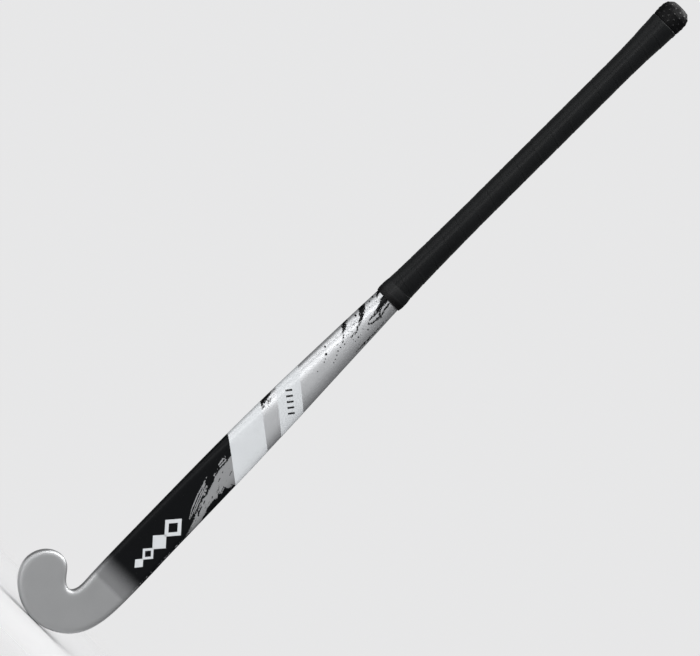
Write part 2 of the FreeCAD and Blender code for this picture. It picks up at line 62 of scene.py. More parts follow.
# height, depth to the face, depth to the back, superellipse power of the face, of the back
SECTION_TABLE = [
    (10.0, 14.2, 14.2, 2.1, 2.1), (0.0, 14.2, 14.2, 2.1, 2.1), (-20.0, 14.2, 14.2, 2.1, 2.1),
    (-40.0, 14.0, 14.0, 2.1, 2.1), (-60.0, 13.2, 13.2, 2.1, 2.1),
    (-100.0, 12.7, 12.7, 2.15, 2.1), (-340.0, 12.7, 12.7, 2.15, 2.1),
    (-400.0, 12.9, 12.9, 2.2, 2.1), (-440.0, 12.7, 12.8, 2.25, 2.1),
    (-500.0, 12.3, 12.5, 2.4, 2.15), (-560.0, 11.7, 12.0, 2.75, 2.2),
    (-620.0, 11.0, 11.6, 3.4, 2.25), (-680.0, 10.4, 11.15, 4.9, 2.3),
    (-740.0, 10.0, 10.75, 7.2, 2.35), (-790.0, 9.85, 10.45, 8.0, 2.4),
    (-850.0, 9.8, 10.2, 8.0, 2.4), (-1000.0, 9.8, 10.2, 8.0, 2.4),
]
TOE_SECTION = SECTION_TABLE[-1][1:]
# Stations round the hook: x and z on its inner edge, x and z on its outer edge, and the
# rounding angle in degrees, which closes the section down to the toe's tip at 90
HEAD_STATIONS = [
    (-22.66, -800.00, 22.81, -800.00, 0), (-22.71, -813.00, 22.90, -809.50, 0),
    (-22.70, -825.00, 22.93, -818.50, 0), (-22.62, -836.00, 22.91, -827.00, 0),
    (-22.48, -845.50, 22.83, -834.50, 0), (-22.33, -853.20, 22.71, -841.50, 0),
    (-22.17, -859.20, 22.54, -848.00, 0), (-22.14, -863.60, 22.32, -854.00, 0),
    (-22.32, -866.70, 22.00, -859.70, 0), (-22.63, -868.80, 21.56, -865.20, 0),
    (-22.94, -870.20, 21.15, -869.00, 0), (-23.31, -871.43, 20.61, -872.96, 0),
    (-23.58, -872.20, 19.52, -879.03, 0), (-23.88, -872.93, 18.07, -884.95, 0),
    (-24.21, -873.62, 16.16, -890.75, 0), (-24.56, -874.28, 13.73, -896.39, 0),
    (-24.95, -874.93, 10.68, -901.78, 0), (-25.39, -875.56, 6.97, -906.80, 0),
    (-25.88, -876.16, 2.62, -911.35, 0), (-26.45, -876.71, -2.31, -915.35, 0),
    (-27.21, -877.25, -8.51, -919.25, 0), (-28.06, -877.63, -15.22, -922.40, 0),
    (-28.97, -877.81, -22.37, -924.75, 0), (-29.90, -877.83, -29.90, -926.15, 0),
    (-30.81, -877.71, -37.66, -926.40, 0), (-31.70, -877.49, -45.45, -925.41, 0),
    (-32.56, -877.18, -53.06, -923.22, 0), (-33.40, -876.81, -60.32, -919.88, 0),
    (-34.23, -876.36, -67.07, -915.50, 0), (-35.06, -875.84, -73.17, -910.16, 0),
    (-36.00, -875.16, -78.35, -903.88, 0), (-37.08, -874.25, -81.48, -898.28, 0),
    (-38.24, -873.12, -83.18, -893.49, 0), (-39.45, -871.79, -83.89, -889.75, 0),
    (-41.42, -869.39, -84.08, -886.62, 8), (-43.28, -866.99, -83.90, -883.41, 16),
    (-45.12, -864.72, -83.34, -880.16, 24), (-47.03, -862.66, -82.41, -876.95, 32),
    (-49.14, -860.91, -81.15, -873.84, 40), (-51.51, -859.56, -79.56, -870.89, 48),
    (-54.12, -858.64, -77.67, -868.15, 56), (-56.57, -858.20, -75.78, -865.96, 63),
    (-59.13, -858.11, -73.66, -863.99, 70), (-61.38, -858.32, -71.69, -862.48, 76),
    (-63.27, -858.68, -69.95, -861.38, 81), (-64.79, -859.10, -68.51, -860.60, 85),
    (-65.92, -859.48, -67.41, -860.09, 88), (-66.68, -859.78, -66.68, -859.78, 90),
]
TOE_CENTRE = np.array([-61.0, -880.5])
TOE_RADIUS = 21.8
HEAD_JOIN = -785.0      # level rings above this height, hook stations below
HEAD_LEAD = -770.0      # an extra station above the join steadies the spline
FACE_FLAT = 0.08        # depth of the flat on the playing face
FACE_BLEND = 0.06       # rounding where that flat meets the curved face
RING_POINTS = 176

BOW_START, BOW_END = -330.0, -840.0     # below the end the bow runs on straight
BOW_DEPTH, BOW_LENGTH, BOW_POWER = 45.7, 597.0, 2.2
BOW_SLOPE = (BOW_DEPTH * BOW_POWER / BOW_LENGTH
             * ((BOW_START - BOW_END) / BOW_LENGTH) ** (BOW_POWER - 1))

SHAFT_TOP = -424.0
SKIN_THICKNESS = 0.12
FILM = (-0.09, -0.01)           # outer and inner insets of the white film
FILM_ON_FILM = (-0.18, -0.11)   # the same for film laid on top of it

# height at x = 0 of the top and bottom edges, and fall in z per mm of x
LOWER_BAND = (-616.5, -664.7, 0.745)
UPPER_BAND = (-561.9, -595.1, 0.79)

DIAMOND_X = 4.5
DIAMOND_HOLE = 0.55     # size of an open diamond's hole against its outline
# centre height, half width, half height, open in the middle
DIAMONDS = [(-757.0, 11.5, 13.0, True), (-777.5, 9.5, 10.5, False),
            (-794.5, 7.5, 8.5, True), (-808.0, 5.5, 6.5, False)]
DASH_COUNT, DASH_FIRST_X, DASH_PITCH = 5, -9.5, 4.8
DASH_CORNERS = [(-3.0, -2.2), (-1.4, -3.4), (3.0, 2.2), (1.4, 3.4)]

VIEW_YAW = math.radians(10.5)   # the viewer stands this far round to the toe side


def bow(z):
    """Y of the stick's centre line at height z."""
    def curve(height):
        reach = np.maximum(BOW_START - height, 0.0) / BOW_LENGTH
        return -BOW_DEPTH * reach ** BOW_POWER
    z = np.asarray(z, float)
    return np.where(z >= BOW_END, curve(z), curve(BOW_END) + BOW_SLOPE * (z - BOW_END))


def read_table(table, column, z):
    """Monotone cubic reading of a table whose first column falls."""
    knots = np.array([row[0] for row in table], float)[::-1]
    values = np.array([row[column] for row in table], float)[::-1]
    z = np.clip(np.asarray(z, float), knots[0], knots[-1])
    gap = np.diff(knots)
    rise = np.diff(values) / gap
    slope = np.zeros(len(knots))
    for i in range(1, len(knots) - 1):
        if rise[i - 1] * rise[i] > 0:
            before, after = 2 * gap[i] + gap[i - 1], gap[i] + 2 * gap[i - 1]
            slope[i] = (before + after) / (before / rise[i - 1] + after / rise[i])
    k = np.clip(np.searchsorted(knots, z, side="right") - 1, 0, len(knots) - 2)
    t = (z - knots[k]) / gap[k]
    return ((2 * t ** 3 - 3 * t ** 2 + 1) * values[k]
            + (t ** 3 - 2 * t ** 2 + t) * slope[k] * gap[k]
            + (-2 * t ** 3 + 3 * t ** 2) * values[k + 1]
            + (t ** 3 - t ** 2) * slope[k + 1] * gap[k])


def half_width(z):
    return read_table(WIDTH_TABLE, 1, z)


def section_at(z):
    """Face depth, back depth, face power and back power at height z."""
    return [read_table(SECTION_TABLE, column, z) for column in (1, 2, 3, 4)]


def natural_spline(values, s):
    """Natural cubic spline through values at 0, 1, 2 ..., read at s."""
    count = len(values)
    system = np.zeros((count, count))
    target = np.zeros(count)
    system[0, 0] = system[-1, -1] = 1
    for i in range(1, count - 1):
        system[i, i - 1:i + 2] = 1, 4, 1
        target[i] = 6 * (values[i + 1] - 2 * values[i] + values[i - 1])
    bend = np.linalg.solve(system, target)
    k = np.clip(np.floor(s).astype(int), 0, count - 2)
    t = s - k
    return (values[k] * (1 - t) + values[k + 1] * t
            + ((1 - t) ** 3 - (1 - t)) * bend[k] / 6 + (t ** 3 - t) * bend[k + 1] / 6)


def smooth_min(a, b, blend):
    h = np.clip(0.5 + 0.5 * (b - a) / blend, 0, 1)
    return b * (1 - h) + a * h - blend * h * (1 - h)


def face_lift(z):
    """How far the flat of the playing face lies inside the rounded face at height z."""
    f = np.clip((-660.0 - z) / 70.0, 0, 1)
    f = f * f * (3 - 2 * f)
    return FACE_FLAT * f - 0.9 * (1 - f)


def inset_at_toe(point, inset):
    return TOE_CENTRE + (point - TOE_CENTRE) * (1 - inset / TOE_RADIUS)


def ring(start, end, rounding, section, inset):
    """A closed cross-section between two edge points (x, z), drawn in by inset all round."""
    face_depth, back_depth, face_power, back_power = [float(value) for value in section]
    start, end = np.asarray(start, float), np.asarray(end, float)
    if rounding <= 0:
        closing = 0.0
        along = end - start
        along = along / np.hypot(*along)
        start, end = start + inset * along, end - inset * along
    else:
        closing = math.sin(math.radians(rounding)) ** 2
        start, end = inset_at_toe(start, inset), inset_at_toe(end, inset)
    middle, half = (start + end) / 2, (end - start) / 2
    half_length = max(np.hypot(*half), 1e-6)
    cosine = np.cos(np.linspace(0, math.pi, 1201))
    sides = []
    for is_face, depth, power in ((True, face_depth - inset, face_power),
                                  (False, back_depth - inset, back_power)):
        x = -np.sign(cosine) * np.abs(cosine) ** (2.0 / power)
        rho = closing + (1 - closing) * x * x
        y = depth * np.maximum(0.0, 1 - rho ** (power / 2)) ** (1 / power)
        if is_face:
            lift = face_lift(middle[1]) if rounding <= 0 else FACE_FLAT
            y = smooth_min(y, np.full_like(y, depth - lift), FACE_BLEND)
            y[0] = min(y[0], y[1])
            y[-1] = min(y[-1], y[-2])
        # space the points by length plus turning, so that they gather at the corners
        dx, dy = half_length * np.diff(x), np.diff(y)
        heading = np.unwrap(np.arctan2(dy, dx))
        turning = np.concatenate([[0], np.minimum(np.abs(np.diff(heading)), 0.3)])
        weight = np.concatenate([[0], np.cumsum(np.hypot(dx, dy) + 5.0 * turning)])
        wanted = np.linspace(0, weight[-1], RING_POINTS // 2 + 1)[:-1]
        x, y = np.interp(wanted, weight, x), np.interp(wanted, weight, y)
        sides.append(np.stack([x, -y] if is_face else [-x, y], 1))
    across, depth = np.concatenate(sides).T
    z = middle[1] + across * half[1]
    return np.stack([middle[0] + across * half[0], bow(z) + depth, z], 1)


def level_ring(z, inset):
    width = float(half_width(z))
    return ring((-width, z), (width, z), 0, section_at(z), inset)


def body_rings(inset, step, per_station):
    """Rings from the shaft's top, round the hook to the toe, and the toe's tip."""
    count = int(round((SHAFT_TOP - HEAD_JOIN) / step)) + 1
    rings = [level_ring(z, inset) for z in np.linspace(SHAFT_TOP, HEAD_JOIN, count)[:-1]]
    lead = [(-width, z, width, z, 0.0)
            for z in (HEAD_LEAD, HEAD_JOIN) for width in [float(half_width(z))]]
    stations = np.array(lead + HEAD_STATIONS, float)
    last = len(stations) - 2
    places = []
    for k in range(1, last + 1):
        # the first gaps are longer, about 13 mm against 8
        parts = int(round(13 / 8 * per_station)) if k < 4 else per_station
        if k == last:
            # crowd the rings towards the tip
            places += [k + 1 - (1 - j / (2.0 * parts)) ** 3 for j in range(2 * parts)]
        else:
            places += [k + j / parts for j in range(parts)]
    s = np.array(places)
    inner_edge = np.stack([natural_spline(stations[:, k], s) for k in (0, 1)], 1)
    outer_edge = np.stack([natural_spline(stations[:, k], s) for k in (2, 3)], 1)
    rounding = np.interp(s, np.arange(len(stations)), stations[:, 4])
    for start, end, angle in zip(inner_edge, outer_edge, rounding):
        section = section_at((start[1] + end[1]) / 2) if angle <= 0 else TOE_SECTION
        rings.append(ring(start, end, float(angle), section, inset))
    tip = inset_at_toe(stations[-1, :2], inset)
    return rings, np.array([tip[0], float(bow(tip[1])), tip[1]])


# ---------------------------------------------------------------------------
# Mesh helpers
# ---------------------------------------------------------------------------
SHARP_ANGLE = math.radians(50)


def add_piece(name, verts, faces, material, node, slot, sharp=False):
    mesh = bpy.data.meshes.new(name)
    mesh.from_pydata((np.asarray(verts) * MM).tolist(), [], faces)
    mesh.validate()
    mesh.update()
    mesh.polygons.foreach_set("use_smooth", [True] * len(mesh.polygons))
    piece = bpy.data.objects.new(name, mesh)
    bpy.context.scene.collection.objects.link(piece)
    mesh.materials.append(material)
    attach(piece, "root")
    bm = bmesh.new()
    bm.from_mesh(mesh)
    bmesh.ops.recalc_face_normals(bm, faces=bm.faces)
    if sharp:
        for edge in bm.edges:
            if len(edge.link_faces) == 2 and edge.calc_face_angle(0) > SHARP_ANGLE:
                edge.smooth = False
    bm.to_mesh(mesh)
    bm.free()
    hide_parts(node)


def bridge(a, b, count, flip=False):
    """Quads between two closed rings of count points that start at indices a and b."""
    faces = []
    for j in range(count):
        k = (j + 1) % count
        face = (a + j, b + j, b + k, a + k)
        faces.append(face[::-1] if flip else face)
    return faces


def loft(rows, count, base=0, flip=False):
    """Quads over successive closed rings of count points."""
    faces = []
    for i in range(rows - 1):
        faces += bridge(base + i * count, base + (i + 1) * count, count, flip)
    return faces


def sleeve(outer, inner):
    """Closed tube wall from two arrays shaped (ring, point, 3)."""
    count = outer.shape[1]
    base = len(outer) * count
    verts = np.concatenate([outer.reshape(-1, 3), inner.reshape(-1, 3)])
    faces = loft(len(outer), count) + loft(len(inner), count, base, flip=True)
    faces += bridge(0, base, count, flip=True)
    faces += bridge(base - count, base + (len(inner) - 1) * count, count)
    return verts, faces


def wobble(x, y, seed, octaves):
    """Smooth repeatable noise from sums of sines, about -1 to 1."""
    draws = np.random.RandomState(seed)
    total, size, pace = 0.0, 1.0, 1.0
    for _ in range(octaves):
        for _ in range(3):
            angle = draws.uniform(0, TURN)
            phase = draws.uniform(0, TURN)
            wave = np.sin(pace * (x * math.cos(angle) + y * math.sin(angle)) + phase)
            total = total + size * wave / 3
        size *= 0.55
        pace *= 2.03
    return total


# ---------------------------------------------------------------------------
# Shader helpers
# ---------------------------------------------------------------------------
def feed(tree, socket, value):
    """Links a Value to a socket, or sets the socket to a colour or a number."""
    if isinstance(value, Value):
        tree.links.new(value.socket, socket)
    elif isinstance(value, tuple):
        socket.default_value = (*value, 1.0)
    else:
        socket.default_value = value


def add_node(tree, kind, inputs, output=0, **settings):
    node = tree.nodes.new("ShaderNode" + kind)
    for key, setting in settings.items():
        setattr(node, key, setting)
    for key, value in inputs.items():
        feed(tree, node.inputs[key], value)
    return Value(tree, node.outputs[output])


def find_principled(tree):
    return next(node for node in tree.nodes if node.type == "BSDF_PRINCIPLED")


class Value:
    """An output socket that takes part in arithmetic."""

    def __init__(self, tree, socket):
        self.tree, self.socket = tree, socket

    def op(self, kind, *others):
        inputs = dict(enumerate((self,) + others))
        return add_node(self.tree, "Math", inputs, operation=kind)

    def __add__(self, other): return self.op("ADD", other)
    def __sub__(self, other): return self.op("SUBTRACT", other)
    def __rsub__(self, other): return (self * -1.0) + other
    def __mul__(self, other): return self.op("MULTIPLY", other)
    def min(self, other): return self.op("MINIMUM", other)
    def max(self, other): return self.op("MAXIMUM", other)
    def sqrt(self): return self.op("SQRT")
    def sin(self): return self.op("SINE")
    def frac(self): return self.op("FRACT")
    def clamp(self): return self.max(0.0).min(1.0)

    def swing(self, amount):
        """Turns 0 to 1 into a swing about zero of the given full range."""
        return (self - 0.5) * amount

    def spread(self, gain):
        """Raises the contrast about the middle, 0.5."""
        return self.swing(gain) + 0.5

    def step(self, low, high):
        """Smooth step from 0 at low to 1 at high (high may be below low)."""
        falls = high < low
        return add_node(self.tree, "MapRange", {
            "Value": self, "From Min": min(low, high), "From Max": max(low, high),
            "To Min": 1.0 if falls else 0.0, "To Max": 0.0 if falls else 1.0,
        }, "Result", interpolation_type="SMOOTHSTEP", clamp=True)


class Shader:
    """A new material with its Principled shader and coordinates in millimetres."""

    def __init__(self, name):
        self.material = bpy.data.materials.new(name)
        self.material.use_nodes = True
        self.tree = self.material.node_tree
        self.principled = find_principled(self.tree)
        place = self.node("TexCoord", {}, "Object")
        self.place = self.scaled(place, 1000.0)
        split = self.node("SeparateXYZ", {0: self.place}).socket.node
        self.x, self.y, self.z = (Value(self.tree, socket) for socket in split.outputs)

    def node(self, kind, inputs, output=0, **settings):
        return add_node(self.tree, kind, inputs, output, **settings)

    def scaled(self, vector, scale):
        return self.node("VectorMath", {0: vector, "Scale": scale}, operation="SCALE")

    def vec(self, x, y, z):
        return self.node("CombineXYZ", {0: x, 1: y, 2: z})

    def noise(self, scale=1.0, detail=3.0, rough=0.5, at=None):
        return self.node("TexNoise", {"Scale": scale, "Detail": detail, "Roughness": rough,
                                      "Vector": at or self.place})

    def voronoi(self, scale):
        return self.node("TexVoronoi", {"Scale": scale, "Vector": self.place}, "Distance")

    def mix(self, factor, a, b):
        return self.node("Mix", {0: factor, 6: a, 7: b}, 2, data_type="RGBA")

    def surface(self, inputs):
        for key, value in inputs.items():
            feed(self.tree, self.principled.inputs[key], value)

    def bump(self, height, strength, distance):
        """Distance is in metres."""
        self.surface({"Normal": self.node("Bump", {
            "Strength": strength, "Distance": distance, "Height": height})})

    def by_height(self, rows):
        """Piecewise-linear value against height, from rows of (z, value)."""
        rows = sorted(rows)
        bottom, height = rows[0][0], rows[-1][0] - rows[0][0]
        low = min(row[1] for row in rows)
        span = max(row[1] for row in rows) - low
        result = self.node("FloatCurve", {"Value": ((self.z - bottom) * (1 / height)).clamp()})
        mapping = result.socket.node.mapping
        points = mapping.curves[0].points
        while len(points) < len(rows):
            points.new(0.5, 0.5)
        for point, (z, value) in zip(points, rows):
            point.location = ((z - bottom) / height, (value - low) / span)
            point.handle_type = "VECTOR"
        mapping.update()
        return result * span + low


def srgb(*channels):
    """Linear colour from sRGB channels of 0 to 255."""
    return tuple(c / 255 / 12.92 if c / 255 <= 0.04045 else ((c / 255 + 0.055) / 1.055) ** 2.4
                 for c in channels)


# ---------------------------------------------------------------------------
# Painted lacquer: silver with black brush marks, and a black field with silver ones
# ---------------------------------------------------------------------------
SILVER = (0.64, 0.65, 0.665)
SILVER_BRUSHED = (0.43, 0.435, 0.445)   # below the lower white band
# the same silver made darker on the head: painted shade, as the flat head catches less of the
# side lamps
SHADED_SILVER_HEAD = (0.385, 0.39, 0.395)
BLACK = (0.0030, 0.0034, 0.0040)

# The graphics are laid out square to the viewer. A stroke is a chain of (x, z, radius).
LAYOUT_OFFSET, LAYOUT_LEAN = 2.75, 0.0052
UPPER_STROKES = [
    [(-5.2, -427, 5.0), (-3.4, -439, 3.3), (-1.7, -445.5, 2.2), (-0.8, -452, 1.2),
     (-0.8, -460, 0.8)],
    [(-0.6, -444.8, 1.3), (3.6, -449.0, 1.1)],
    [(1.6, -430, 0.85), (3.1, -441, 0.95), (4.8, -449, 1.25), (4.4, -455, 0.95),
     (3.7, -461, 0.9), (1.9, -463, 1.0)],
    [(-13.6, -431.5, 1.6), (-11.8, -437.5, 0.9)], [(-14.3, -441.5, 0.6), (-12.9, -439.6, 0.5)],
    [(-18.6, -453.6, 5.0), (-14.0, -457.4, 3.8), (-10.4, -461.4, 2.3), (-7.8, -465.4, 1.4),
     (-6.0, -469.0, 1.4), (-4.2, -473.6, 1.3), (-1.7, -477.2, 0.9), (-1.2, -486.0, 0.55)],
    [(-17.4, -473.0, 1.2), (-16.4, -481.5, 3.2), (-12.2, -485.5, 1.7), (-11.0, -489.0, 0.7)],
    [(-8.5, -490.5, 0.5), (-4.0, -496.3, 0.5)],
    [(12.6, -447.0, 0.2), (12.9, -462.0, 0.5), (13.3, -478.0, 0.75), (13.4, -493.0, 0.4)],
    [(-24.5, -580, 3.0), (-21.0, -589, 3.4), (-18.6, -598, 2.6), (-18.0, -605, 1.5)],
    [(-15.4, -591, 0.7), (-13.8, -596.5, 0.5)], [(-14.8, -601.5, 0.9), (-13.6, -605.0, 0.5)],
]
UPPER_FLECK_PATHS = [
    [(-9.0, -471, 4.0), (-5.0, -492, 3.5), (-3.0, -504, 1.5)],
    [(6.5, -447, 1.5), (5.0, -482, 2.0), (4.2, -500, 0.8)],
    [(-14.5, -590, 3.4), (-11.5, -600, 2.4)], [(-15.5, -500, 1.2), (-13.0, -515, 0.8)],
]
# x, z, radius
UPPER_SPOTS = [
    (-13.2, -512.4, 1.0), (-7.4, -517.2, 1.3), (4.4, -517.6, 0.65), (-4.4, -521.0, 0.6),
    (-3.0, -524.3, 0.6), (-1.0, -536.0, 0.55), (-1.2, -496.0, 0.75), (-1.9, -501.5, 0.65),
    (-1.0, -506.0, 0.75), (1.2, -510.0, 0.65), (3.1, -514.0, 0.55), (-6.2, -502.0, 0.5),
    (5.5, -468.3, 0.9), (3.9, -481.0, 0.85), (3.9, -477.5, 0.5), (1.2, -471.5, 0.55),
    (-13.1, -467.0, 1.1), (-8.7, -475.0, 0.7), (-4.8, -481.5, 0.6), (1.7, -486.5, 0.5),
    (4.6, -485.8, 0.5), (-5.6, -486.5, 0.55), (10.0, -486.0, 0.45), (6.8, -449.5, 0.6),
    (-8.8, -441.5, 0.5), (-13.0, -446.3, 0.7), (-9.4, -450.8, 0.5),
]
# Edges of the broad silver swathe on the black field: z, x
SWATHE_LEFT = [
    (-655.0, -2.4), (-666.0, -2.1), (-673.9, -1.0), (-678.3, -1.3), (-681.7, -0.7),
    (-688.3, 1.2), (-692.2, 3.1), (-696.1, 4.2), (-700.6, 5.4), (-703.9, 6.4), (-706.7, 7.8),
    (-710.0, 8.6), (-714.0, 8.2), (-720.6, 10.0), (-726.0, 12.6), (-731.7, 14.4),
    (-737.0, 16.9), (-742.0, 19.4), (-748.0, 21.2), (-754.0, 23.2),
]
SWATHE_RIGHT = [
    (-655.0, 30.0), (-678.0, 30.0), (-681.0, 20.5), (-684.0, 20.2), (-687.0, 19.2),
    (-688.6, 17.4), (-689.6, 14.4), (-693.0, 15.0), (-697.0, 16.8), (-699.0, 15.2),
    (-700.6, 16.6), (-702.8, 18.0), (-707.2, 17.0), (-710.6, 16.6), (-714.0, 17.7),
    (-718.3, 18.0), (-721.7, 20.1), (-726.0, 21.2), (-730.6, 22.9), (-736.0, 24.0),
    (-744.0, 23.6), (-754.0, 22.8),
]
SWATHE_THIN_PLACES = [[(9.0, -691.0, 0.8), (15.2, -698.5, 2.4)],
                      [(12.0, -689.5, 0.5), (16.0, -696.0, 0.7)]]
SWATHE_NICKS = [
    [(8.8, -672.6, 0.35), (10.4, -676.8, 0.45)], [(13.4, -705.6, 0.5), (14.4, -706.8, 0.4)],
    [(13.0, -721.0, 0.5), (14.6, -726.6, 0.9), (17.2, -730.0, 0.6)],
    [(11.0, -714.4, 0.5), (12.4, -717.0, 0.5)], [(2.6, -679.0, 0.3), (3.4, -680.6, 0.35)],
    [(5.6, -686.4, 0.35), (6.8, -689.6, 0.4)], [(18.4, -683.0, 0.3), (20.4, -681.6, 0.5)],
]
LOWER_STROKES = [
    [(-3.8, -699.0, 0.45), (-2.1, -703.0, 0.62), (-0.6, -708.3, 0.62), (1.3, -715.0, 0.58),
     (4.1, -721.9, 0.55), (7.4, -729.6, 0.45), (12.8, -738.6, 0.3)],
    [(-1.6, -701.0, 0.4), (1.4, -708.3, 0.55), (5.9, -720.3, 0.5), (9.6, -728.8, 0.45),
     (13.4, -738.0, 0.25)],
    [(1.1, -702.6, 0.4), (3.5, -708.6, 0.55), (7.6, -719.6, 0.5), (10.6, -727.0, 0.4),
     (12.4, -731.6, 0.2)],
    [(1.5, -702.0, 0.9), (2.1, -702.6, 0.9)], [(3.9, -705.6, 0.8), (4.4, -706.4, 0.8)],
    [(5.4, -709.0, 0.9), (6.0, -710.2, 0.7)],
    [(-6.6, -669.6, 0.5), (-6.2, -672.5, 0.75), (-5.3, -677.2, 0.6)],
    [(-5.8, -668.9, 0.5), (-3.6, -668.4, 0.55), (-3.3, -678.0, 0.6)],
    [(-1.6, -686.6, 0.4), (-0.9, -688.6, 0.5)], [(-6.8, -666.4, 0.5), (-6.2, -667.2, 0.4)],
    [(-5.2, -695.4, 0.3), (-4.8, -696.2, 0.3)], [(15.4, -690.4, 0.35), (17.9, -697.0, 0.4)],
    [(13.6, -691.6, 0.3), (16.4, -698.0, 0.35)],
]
LOWER_FLECK_PATHS = [
    [(-4.5, -668, 1.2), (-3.0, -678, 1.5), (-1.5, -688, 1.0)],
    [(3.0, -703.5, 1.6), (8.5, -713.0, 1.6), (14.0, -728.0, 1.5)],
]


def layout_x(x, z):
    """The stick's own X of a layout point; its Z is the same."""
    shift = LAYOUT_OFFSET + LAYOUT_LEAN * z - float(bow(z)) * math.sin(VIEW_YAW)
    return (x - shift) / math.cos(VIEW_YAW)


def nearest(distances):
    """Smallest of several Values."""
    result = None
    for distance in distances:
        result = distance if result is None else result.min(distance)
    return result


def strokes(m, chains):
    """Signed distance to the union of tapered strokes."""
    def segment(start, end):
        start_x, end_x = layout_x(*start[:2]), layout_x(*end[:2])
        dx, dz = end_x - start_x, end[1] - start[1]
        px, pz = m.x - start_x, m.z - start[1]
        along = ((px * dx + pz * dz) * (1 / (dx * dx + dz * dz))).clamp()
        qx, qz = px - along * dx, pz - along * dz
        return (qx * qx + qz * qz).sqrt() - (along * (end[2] - start[2]) + start[2])
    return nearest(segment(start, end)
                   for chain in chains for start, end in zip(chain[:-1], chain[1:]))


def spot_distance(m, x, z, radius):
    x = layout_x(x, z)
    return ((m.x - x) * (m.x - x) + (m.z - z) * (m.z - z)).sqrt() - radius


def torn(distance, *noises):
    """Mask of a stroke whose edge is moved by noises of 0 to 1, each with its range in mm."""
    for noise, amount in noises:
        distance = distance + noise.swing(amount)
    return distance.step(0.10, -0.10)


def brush_textures(m):
    """Noises shared by the brush marks, most of them spread over 0 to 1."""
    def bristle(degrees, along, across, offset, detail=4.0):
        """Noise drawn out along the brush direction."""
        c, s = math.cos(math.radians(degrees)), math.sin(math.radians(degrees))
        u = m.x * c + m.z * s
        v = m.z * c - m.x * s
        at = m.vec(u * along, v * across, offset)
        return m.noise(detail=detail, rough=0.6, at=at).spread(2.3).clamp()

    return SimpleNamespace(
        bristle_wide=bristle(-64, along=0.20, across=0.85, offset=3.1),
        bristle_long=bristle(-67, along=0.16, across=1.15, offset=8.7),
        bristle_fine=bristle(-67, along=0.45, across=1.6, offset=4.4, detail=3.0),
        rag=m.noise(scale=0.42, detail=5.0, rough=0.7).spread(2.4).clamp(),
        rag_fine=m.noise(scale=1.15, detail=4.0, rough=0.7,
                         at=m.vec(m.x, 5.0, m.z)).spread(2.4).clamp(),
        fine=m.noise(scale=2.1, rough=0.6),
        cell=m.voronoi(0.62))


def black_marks(m, tex):
    """Mask of the black brush marks, flecks and spots on the upper silver."""
    marks = strokes(m, UPPER_STROKES)
    bare = (tex.rag_fine * 0.6 + tex.bristle_fine * 0.4 - 0.66).step(0.0, 0.04)
    holes = bare * (marks * -1.0).step(1.9, 1.0)
    brushed = torn(marks, (tex.rag, 1.7), (tex.rag_fine, 1.3), (tex.bristle_wide, 1.5))
    near = strokes(m, UPPER_FLECK_PATHS).step(2.0, -5.0)
    flecks = (tex.cell - near * 0.29 + tex.fine.swing(0.16)).step(0.035, -0.01)
    spots = nearest(spot_distance(m, *spot) for spot in UPPER_SPOTS)
    spots = (spots + tex.fine.swing(0.7) + tex.rag.swing(0.4)).step(0.12, -0.12)
    return (brushed * (1.0 - holes)).max(flecks).max(spots)


def silver_marks(m, tex):
    """Mask of the dry-brushed silver over the black field."""
    left, right = (m.by_height([(z, layout_x(x, z)) for z, x in edge])
                   for edge in (SWATHE_LEFT, SWATHE_RIGHT))
    outside = (left - m.x).max(m.x - right)
    across = ((m.x - left) / (right - left) if False else
              (m.x - left).op("DIVIDE", right - left)).clamp()
    # the brush runs dry towards the bottom and the left edge
    wear = m.z.step(-702.0, -726.0) * (1.0 - across * 0.85)
    thin = strokes(m, SWATHE_THIN_PLACES).step(1.0, -1.6)
    bare = (tex.bristle_long * 0.35 + tex.rag_fine * 0.40 + tex.bristle_fine * 0.25 - 0.73
            + wear * 0.22 + thin * 0.22).step(0.0, 0.03)
    swathe = torn(outside, (tex.rag, 1.3), (tex.bristle_long, 1.2), (tex.rag_fine, 1.5),
                  (tex.bristle_fine, 1.0))
    nicks = torn(strokes(m, SWATHE_NICKS), (tex.rag_fine, 1.0), (tex.bristle_fine, 0.6))
    swathe = swathe * (1.0 - bare) * (1.0 - nicks)
    thin_strokes = torn(strokes(m, LOWER_STROKES), (tex.rag_fine, 0.9),
                        (tex.bristle_fine, 0.7), (tex.rag, 0.4))
    near = strokes(m, LOWER_FLECK_PATHS).step(2.0, -2.5)
    flecks = (tex.cell - near * 0.30 + tex.fine.swing(0.16)).step(0.03, -0.01)
    return swathe.max(thin_strokes).max(flecks)


